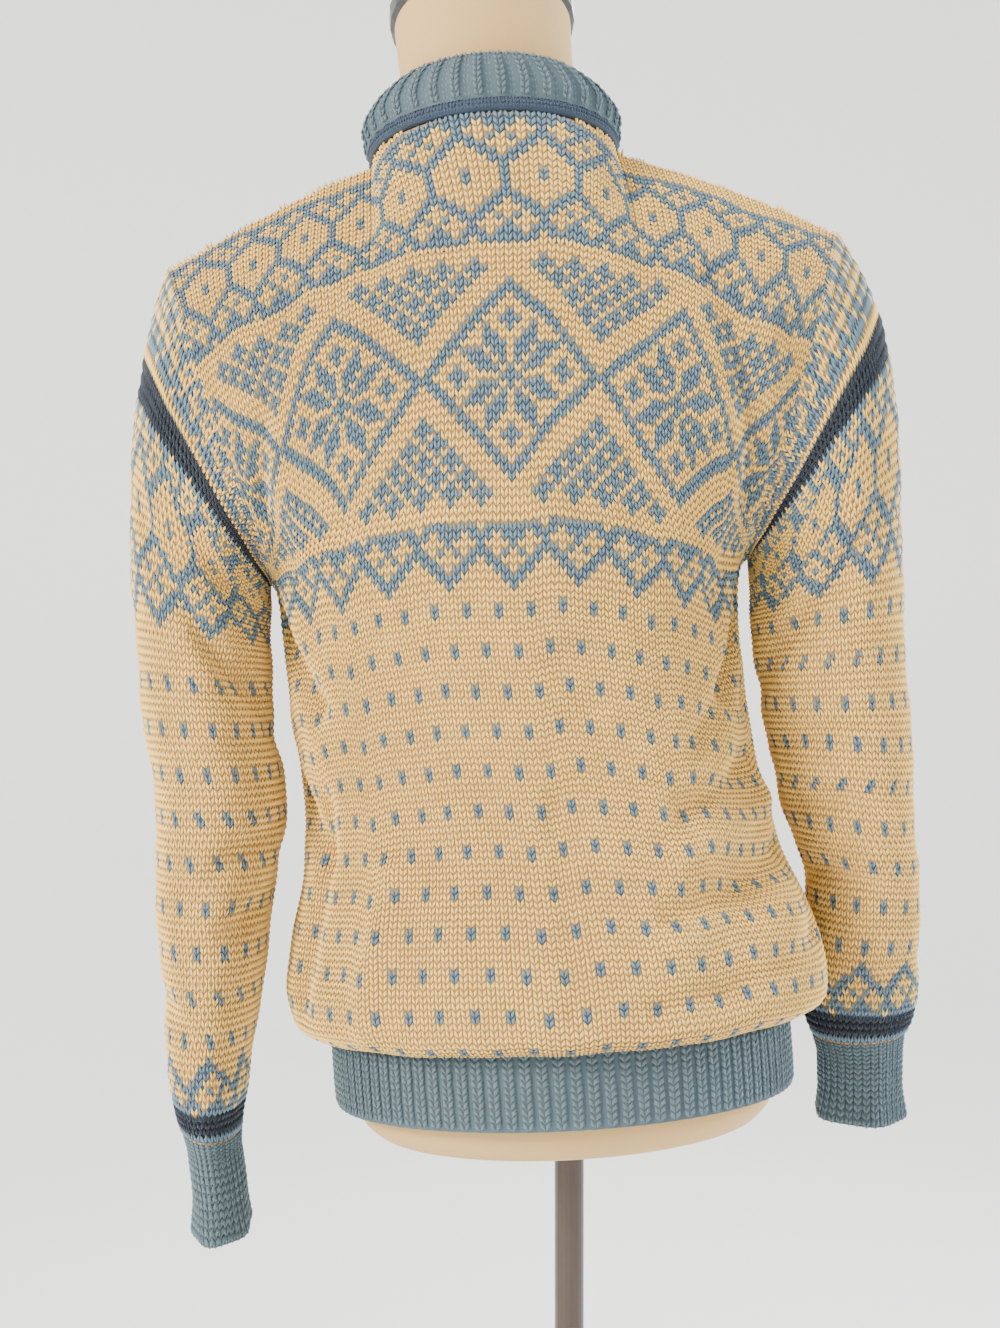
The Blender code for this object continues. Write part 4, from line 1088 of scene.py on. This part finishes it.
def make_knit_collar(wool_under, wool_over, group):
    """The folded ribbed collar, with plain columns on its ribs and purl columns in its furrows."""
    base = 2 * SEAM + STRIP_RISE + SEAM
    count = 8 * COLLAR_RIBS + 1
    angle = np.linspace(NECK_GAP, 2 * math.pi - NECK_GAP, count)
    rise = rib_columns(count, COLLAR_RIBS)
    outer, inner = [], []
    for share in np.linspace(0, 1, 11):
        out, full = (float(smooth(COLLAR_OUTER, column, share)) for column in (1, 2))
        outer.append(soft_neck(angle, base + COLLAR_RISE * share, out, rise * full * COLLAR_RELIEF))
        back = float(smooth(COLLAR_INNER, 1, share * 0.97)) - COLLAR_WALL
        inner.append(soft_neck(angle, base + COLLAR_RISE * min(share, 0.97), back, -rise * 0.4))
    outer, inner = leaned(np.stack(outer)), leaned(np.stack(inner))
    fold = (outer[-1] + inner[-1]) / 2 + np.array([0, 0, 0.0012])
    outer = np.concatenate([outer, fold[None]])
    inner = np.concatenate([inner, fold[None] - np.array([0, 0, 0.0006])])
    collar = shell("collar_rib", outer, inner, wool_under)
    ribs = neck_angles((np.arange(COLLAR_RIBS) + 0.5) / COLLAR_RIBS)
    purls = neck_angles(np.arange(1, COLLAR_RIBS) / COLLAR_RIBS)
    made = []
    for label, columns, width, lift in (("collar_stitches", ribs, COLLAR_STITCH, COLLAR_RELIEF),
                                        ("collar_purls", purls, PURL_STITCH, PURL_RELIEF)):
        grid = []
        for share in (np.arange(8) + 0.5) / 8:
            out, full = (float(smooth(COLLAR_OUTER, column, share)) for column in (1, 2))
            proud = np.full(len(columns), RIB_RISE * full * lift)
            grid.append(soft_neck(columns, base + COLLAR_RISE * share, out, proud))
        made.append(rib_stitches(label, leaned(np.stack(grid))[:, ::-1], width, wool_over, group))
    return collar, made


def make_rolled_strip(wool_strip, group):
    """The strip along the neckline: a half round roll with three rows of stitches on it."""
    angle = np.linspace(NECK_GAP, 2 * math.pi - NECK_GAP, 241)
    turn = np.linspace(0, math.pi, 7)
    low = 2 * SEAM
    rises = [low + STRIP_RISE * (1 - math.cos(t)) / 2 for t in turn]
    prouds = [0.0006 + 0.0024 * math.sin(t) for t in turn]
    outer = np.stack([soft_neck(angle, rise, 0.0, proud) for rise, proud in zip(rises, prouds)])
    inner = np.stack([soft_neck(angle, rise, 0.0, -WALL) for rise in rises])
    strip = shell("collar_strip_roll", leaned(outer), leaned(inner), wool_strip)
    columns = neck_angles((np.arange(STRIP_COLUMNS) + 0.5) / STRIP_COLUMNS)
    rows = [(0.20, 0.0020), (0.50, 0.0030), (0.80, 0.0022)]
    grid = np.stack([soft_neck(columns, low + STRIP_RISE * share, 0.0, proud) for share, proud in rows])
    grid = leaned(grid)[:, ::-1]
    return strip, rib_stitches("collar_strip_stitches", grid, STRIP_STITCH, wool_strip, group)


def soft_neck(angle, rise, out, proud):
    """The neck edge as a smooth curve through the knots of the straight-stepped one."""
    front = np.cos(angle) > 0
    depth = np.where(front, NECK_FRONT_DEPTH, NECK_BACK_DEPTH)
    height = np.where(front, NECK_FRONT_HEIGHT, NECK_BACK_HEIGHT)
    z = height + (NECK_SIDE_HEIGHT - height) * (1 - np.abs(np.cos(angle)))
    x = (NECK_HALF_WIDTH + out + proud) * np.sin(angle)
    y = (depth + out / 2 + proud) * np.cos(angle)
    return np.stack([x, y, z + rise], axis=-1)


def make_knit_bands(wool_under, wool_over, group):
    """Two ribbed strips, one over the other, with the knit columns running up the upper one."""
    made = []
    heights = np.linspace(HEM_HEIGHT, NECK_FRONT_HEIGHT - 0.0005, 76)
    columns = np.linspace(-1, 1, 25)
    for name, offset in (("button_band", -WALL - SEAM), ("buttonhole_band", BAND_LIFT)):
        line, normal = band_line(heights, offset)
        across = columns * (BAND_HALF_WIDTH - SEAM / 2)
        ridge = 0.0005 * np.cos(columns * math.pi * 4)
        flat = line[:, None, :] + across[None, :, None] * np.array([1.0, 0, 0])
        outer = flat + normal[:, None, :] * (ridge[None, :, None] - 0.0003)
        inner = flat - normal[:, None, :] * WALL * BAND_BACKING
        made.append(shell(name + "_knit", leaned(outer), leaned(inner), wool_under))
    rows = np.linspace(HEM_HEIGHT + 0.002, NECK_FRONT_HEIGHT - 0.0025, 132)
    line, normal = band_line(rows, BAND_LIFT + 0.0002)
    across = np.array([-1.0, -0.5, 0.0, 0.5, 1.0]) * (BAND_HALF_WIDTH - 0.0022)
    grid = line[:, None, :] + across[None, :, None] * np.array([1.0, 0, 0])
    over = rib_stitches("buttonhole_band_stitches", leaned(grid)[:, ::-1], BAND_STITCH, wool_over, group)
    return made, over


def round_button(name, height, material):
    """A button with a raised rim, a dished face and four holes, in the plain solid's place and size."""
    low, high = (np.array(corner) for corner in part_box(name))
    normal = band_line(np.array([height]), BAND_LIFT)[1][0]
    side = np.array([1.0, 0, 0])
    up = np.cross(normal, side)
    foot = (low + high) / 2 - normal * BUTTON_THICKNESS / 2
    turn = np.arange(BUTTON_SIDES) / BUTTON_SIDES * 2 * math.pi
    rim = np.cos(turn)[:, None] * side + np.sin(turn)[:, None] * up
    profile = [(0.02, 0.0), (0.70, 0.0), (0.95, 0.20), (1.0, 0.45), (0.99, 0.70), (0.93, 0.92), (0.85, 1.0),
               (0.76, 0.92), (0.68, 0.70), (0.55, 0.60), (0.02, 0.58)]
    rings = [foot + BUTTON_RADIUS * out * rim + normal * BUTTON_THICKNESS * lift for out, lift in profile]
    points, faces = turned_body(rings)
    small = rim[::4]
    sides = len(small)
    for hole in range(4):
        angle = math.pi / 4 + hole * math.pi / 2
        away = math.cos(angle) * side + math.sin(angle) * up
        spot = foot + normal * BUTTON_THICKNESS * 0.55 + HOLE_DISTANCE * away
        first = len(points)
        ring = HOLE_RADIUS * small
        points = np.concatenate([points, spot + ring, spot + ring + normal * HOLE_RIM])
        faces += ring_faces(2, sides, first)
        faces.append(tuple(reversed(range(first, first + sides))))
        faces.append(tuple(range(first + sides, first + 2 * sides)))
    return plain_object(name + "_moulded", points, faces, material)


def make_form_skin(jersey):
    """The padded form under its jersey, smoother than the solid."""
    heights = np.concatenate([np.linspace(FORM[0][0], 0.845, 16), np.linspace(0.850, FORM[-1][0], 76)])
    angle = np.arange(FORM_COLUMNS) / FORM_COLUMNS * 2 * math.pi
    rings = []
    for height in heights:
        half_width, back, front, power = (float(smooth(FORM, column, height)) for column in (1, 2, 3, 4))
        rings.append(form_ring((height, half_width, back, front, power), angle))
    return plain_object("form_jersey_skin", *turned_body(rings), jersey)


def jersey_material():
    """Cotton jersey, machine knitted and stretched over the form: plain, matt and smooth.

    Its fine upright loops are 0.6 mm apart and three times as high as wide.
    """
    material, tree, shader = new_material("form_cotton_jersey", 0.85, Sheen_Weight=0.05)
    place = node(tree, "ShaderNodeTexCoord").outputs["Object"]
    stretched = node(tree, "ShaderNodeMapping", _0=place, _3=(1.0, 1.0, 0.35)).outputs[0]
    loops = node(tree, "ShaderNodeTexNoise", Vector=stretched, Scale=1800.0, Detail=2.0).outputs[0]
    patches = node(tree, "ShaderNodeTexNoise", Vector=place, Scale=14.0, Detail=3.0).outputs[0]
    varied = shaded(tree, shaded(tree, hex_colour("#C6A168"), loops, 0.10), patches, 0.06)
    coat(tree, shader, varied, loops, 0.4, 0.0003)
    return material


def hard_material(name, colour, roughness, metallic, grain, clear):
    """Lacquered or moulded surfaces: a slow change of gloss and a fine grain in the colour and the relief."""
    material, tree, shader = new_material(name, roughness, Metallic=metallic, Coat_Weight=clear,
                                          Coat_Roughness=0.2)
    place = node(tree, "ShaderNodeTexCoord").outputs["Object"]
    stretched = node(tree, "ShaderNodeMapping", _0=place, _3=grain).outputs[0]
    streaks = node(tree, "ShaderNodeTexNoise", Vector=stretched, Scale=60.0, Detail=4.0).outputs[0]
    gloss = node(tree, "ShaderNodeMapRange", _0=streaks, _1=0.3, _2=0.7, _3=roughness * 0.8,
                 _4=roughness * 1.3).outputs[0]
    tree.links.new(gloss, shader.inputs["Roughness"])
    coat(tree, shader, shaded(tree, hex_colour(colour), streaks, 0.25), streaks, 0.15, 0.0002)
    return material


def area_light(name, place, target, size, power, colour):
    """A round soft lamp that points at a place."""
    light = bpy.data.lights.new(name, "AREA")
    light.shape = "DISK"
    light.size = size
    light.energy = power
    light.color = colour
    lamp = added(name, light)
    lamp.location = place
    lamp.rotation_euler = (Vector(target) - Vector(place)).to_track_quat("-Z", "Y").to_euler()


def make_stage():
    """A pale paper floor that rises softly into a round wall, daylight all round, and three soft lamps."""
    material, tree, shader = new_material("studio_paper", 0.9)
    place = node(tree, "ShaderNodeTexCoord").outputs["Object"]
    fleck = node(tree, "ShaderNodeTexNoise", Vector=place, Scale=40.0, Detail=2.0).outputs[0]
    tree.links.new(shaded(tree, hex_colour("#FBFAF8"), fleck, 0.01), shader.inputs["Base Color"])
    profile = [(FLOOR_RADIUS, 0.0)]
    for t in np.linspace(0.1, math.pi / 2, 14):
        profile.append((FLOOR_RADIUS + BEND_RADIUS * math.sin(t), BEND_RADIUS * (1 - math.cos(t))))
    profile.append((FLOOR_RADIUS + BEND_RADIUS, WALL_HEIGHT))
    turn = np.arange(FLOOR_SIDES) / FLOOR_SIDES * 2 * math.pi
    points = [(0.0, 0.0, -FLOOR_DEPTH)]
    for radius, height in profile:
        points += [(radius * math.cos(t), radius * math.sin(t), height - FLOOR_DEPTH) for t in turn]
    faces = [(0, 1 + c, 1 + (c + 1) % FLOOR_SIDES) for c in range(FLOOR_SIDES)]
    faces += [(a, d, c, b) for a, b, c, d in ring_faces(len(profile), FLOOR_SIDES, 1)]
    mesh = bpy.data.meshes.new("studio_floor")
    mesh.from_pydata(points, [], faces)
    mesh.update()
    mesh.shade_smooth()
    mesh.materials.append(material)
    floor = added("studio_floor", mesh)
    world = bpy.data.worlds.new("studio_sky")
    bpy.context.scene.world = world
    world.use_nodes = True
    sky = world.node_tree.nodes["Background"]
    sky.inputs[0].default_value = hex_colour("#F4F6FA")
    sky.inputs[1].default_value = SKY_STRENGTH
    for name, lamp in LAMPS.items():
        area_light(name, *lamp)


def make_camera():
    """The photo's view: level, upright and square to the back."""
    camera = bpy.data.cameras.new("photo_view")
    camera.sensor_fit = "VERTICAL"
    camera.sensor_height = 24.0
    camera.lens = camera.sensor_height / 2 / math.tan(math.radians(VIEW_ANGLE / 2))
    camera.clip_start = 0.05
    view = added("photo_view", camera)
    view.location = VIEW_PLACE
    view.rotation_euler = (math.pi / 2, 0, 0)
    bpy.context.scene.camera = view


def declare(piece, slot, *nodes):
    """A piece rides on the one body and stands for the nodes named, which are hidden. The slot is not used.
    """
    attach(piece, "root")
    if nodes:
        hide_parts(*nodes)


def patterned(name, given, yarns, group_of, keep=True):
    """The stitches of a panel or sleeve, one piece for each yarn that it has."""
    place, wide, up, width, height, colour = given
    made = []
    for number, (label, yarn) in yarns.items():
        pick = keep & (colour == number)
        if pick.any():
            over = stitches(f"{name}_{label}_stitches", place[pick], wide[pick], up[pick], width[pick],
                            height[pick], yarn, group_of())
            declare(over, YARNS[label][0])
            made.append(over)
    return made


def knit_panels(ground, yarns, group_of):
    """The back and the two fronts: for each its ground and its stitches."""
    edge = 1 - SEAM / (2 * HALF_GIRTH)
    whole = np.arange(-HALF_WALES, HALF_WALES)
    centres = (whole + 0.5) / HALF_WALES
    left, right = centres[centres < -BAND_SHARE], centres[centres > BAND_SHARE]
    panels = {"back": ("back", np.concatenate([[-edge], centres, [edge]]), whole),
              "left_front": ("front", np.concatenate([[-edge], left, [-BAND_EDGE]]), whole[whole < -3]),
              "right_front": ("front", np.concatenate([[BAND_EDGE], right, [edge]]), whole[whole >= 3])}
    sheets = {}
    for name, (face, across, wales) in panels.items():
        outer, inner, yarn = panel_ground(face, across)
        if face == "front":
            near = -1 if name == "left_front" else 0
            side = -1 if name == "left_front" else 1
            for grid in (outer, inner):
                grid[:, near, 0] = smooth(LEAN, 1, grid[:, near, 2]) + side * BESIDE_BAND
        base = shell(name + "_ground", outer, inner, ground, yarn=yarn)
        declare(base, "cream_wool", name)
        given = body_stitches(face, wales)
        beside = np.abs(given[0][:, 0] - smooth(LEAN, 1, given[0][:, 2]))
        keep = beside > (BESIDE_STITCHES if face == "front" else -1)
        sheets[name] = (base, patterned(name, given, yarns, group_of, keep))
    return sheets


def main():
    """Knits and lays out every piece, then the stand and the studio."""
    make_camera()
    cream = wool("cream_worsted_wool", YARNS["cream"][1])
    blue = wool("blue_worsted_wool", YARNS["blue"][1])
    rib = wool("light_blue_ribbed_wool", YARNS["rib"][1])
    # The wool under the ribs' stitches is the rib yarn darkened with painted shade for the furrows
    furrow = wool("blue_wool_painted_shade_in_rib_furrows", FURROW_SHADE_COLOUR, 0.05)
    navy = wool("navy_worsted_wool", YARNS["navy"][1])
    strip_wool = wool("slate_rolled_wool", YARNS["strip"][1])
    # The ground wool's colours are darkened with painted shade for the depth between stitches
    ground = ground_wool("knit_ground_painted_shade", GROUND_SHADE_COLOURS)
    yarns = {CREAM: ("cream", cream), BLUE: ("blue", blue), NAVY: ("navy", navy)}
    tree = stitch_tree()
    stitch = stitch_shape()
    seeds = iter(range(11, 99))

    def group_of():
        return tree, stitch, next(seeds)

    sheets = knit_panels(ground, yarns, group_of)
    for side in ("left", "right"):
        given, rows = sleeve_stitches(side)
        base = sleeve_ground(side, ground, rows)
        name = side + "_sleeve"
        declare(base, "cream_wool", name)
        sheets[name] = (base, patterned(name, given, yarns, group_of))
        cuff, over = make_knit_cuff(side, furrow, rib, group_of())
        declare(cuff, "blue_wool", side + "_cuff")
        declare(over, "blue_wool")
        sheets[side + "_cuff"] = (cuff, [over])
    hem, over = make_knit_hem(furrow, rib, group_of())
    declare(hem, "blue_wool", "hem_rib")
    declare(over, "blue_wool")
    sheets["hem_rib"] = (hem, [over])
    group = group_of()
    collar, made = make_knit_collar(furrow, rib, group)
    strip, on_strip = make_rolled_strip(strip_wool, group)
    declare(collar, "blue_wool", "collar")
    declare(strip, "navy_wool", "collar_strip")
    for piece in made:
        declare(piece, "blue_wool")
    declare(on_strip, "navy_wool")
    sheets["collar"] = (collar, made)
    sheets["collar_strip"] = (strip, [on_strip])
    bands, over = make_knit_bands(furrow, rib, group_of())
    declare(bands[0], "blue_wool", "button_band")
    declare(bands[1], "blue_wool", "buttonhole_band")
    declare(over, "blue_wool")
    sheets["button_band"] = (bands[0], [])
    sheets["buttonhole_band"] = (bands[1], [over])
    bpy.data.objects.remove(stitch, do_unlink=True)

    # Moulded plastic: half gloss, with a soft highlight on the rim
    plastic = hard_material("button_moulded_plastic", "#6E8796", 0.35, 0.0, (1.0, 1.0, 1.0), 0.3)
    for number, height in enumerate(BUTTON_HEIGHTS):
        name = f"button_{number + 1}"
        declare(round_button(name, height, plastic), "button_plastic", name)
    declare(make_form_skin(jersey_material()), "form_jersey", "form_torso")
    # Black lacquer on turned wood: near black, with a clear coat that shows the lamps
    lacquer = hard_material("neck_cap_black_lacquer", "#1B1A1C", 0.35, 0.0, (1.0, 1.0, 6.0), 0.5)
    # Bronze lacquer on drawn steel: dark and half metallic, with streaks along the pole
    bronze = hard_material("stand_bronze_lacquer", "#4A403A", 0.34, 0.75, (1.0, 1.0, 0.12), 0.2)
    for name, material in (("neck_cap", lacquer), ("pole", bronze), ("pole_foot", bronze), ("base", bronze)):
        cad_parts[name].material_slots[0].material = material

    make_stage()


main()
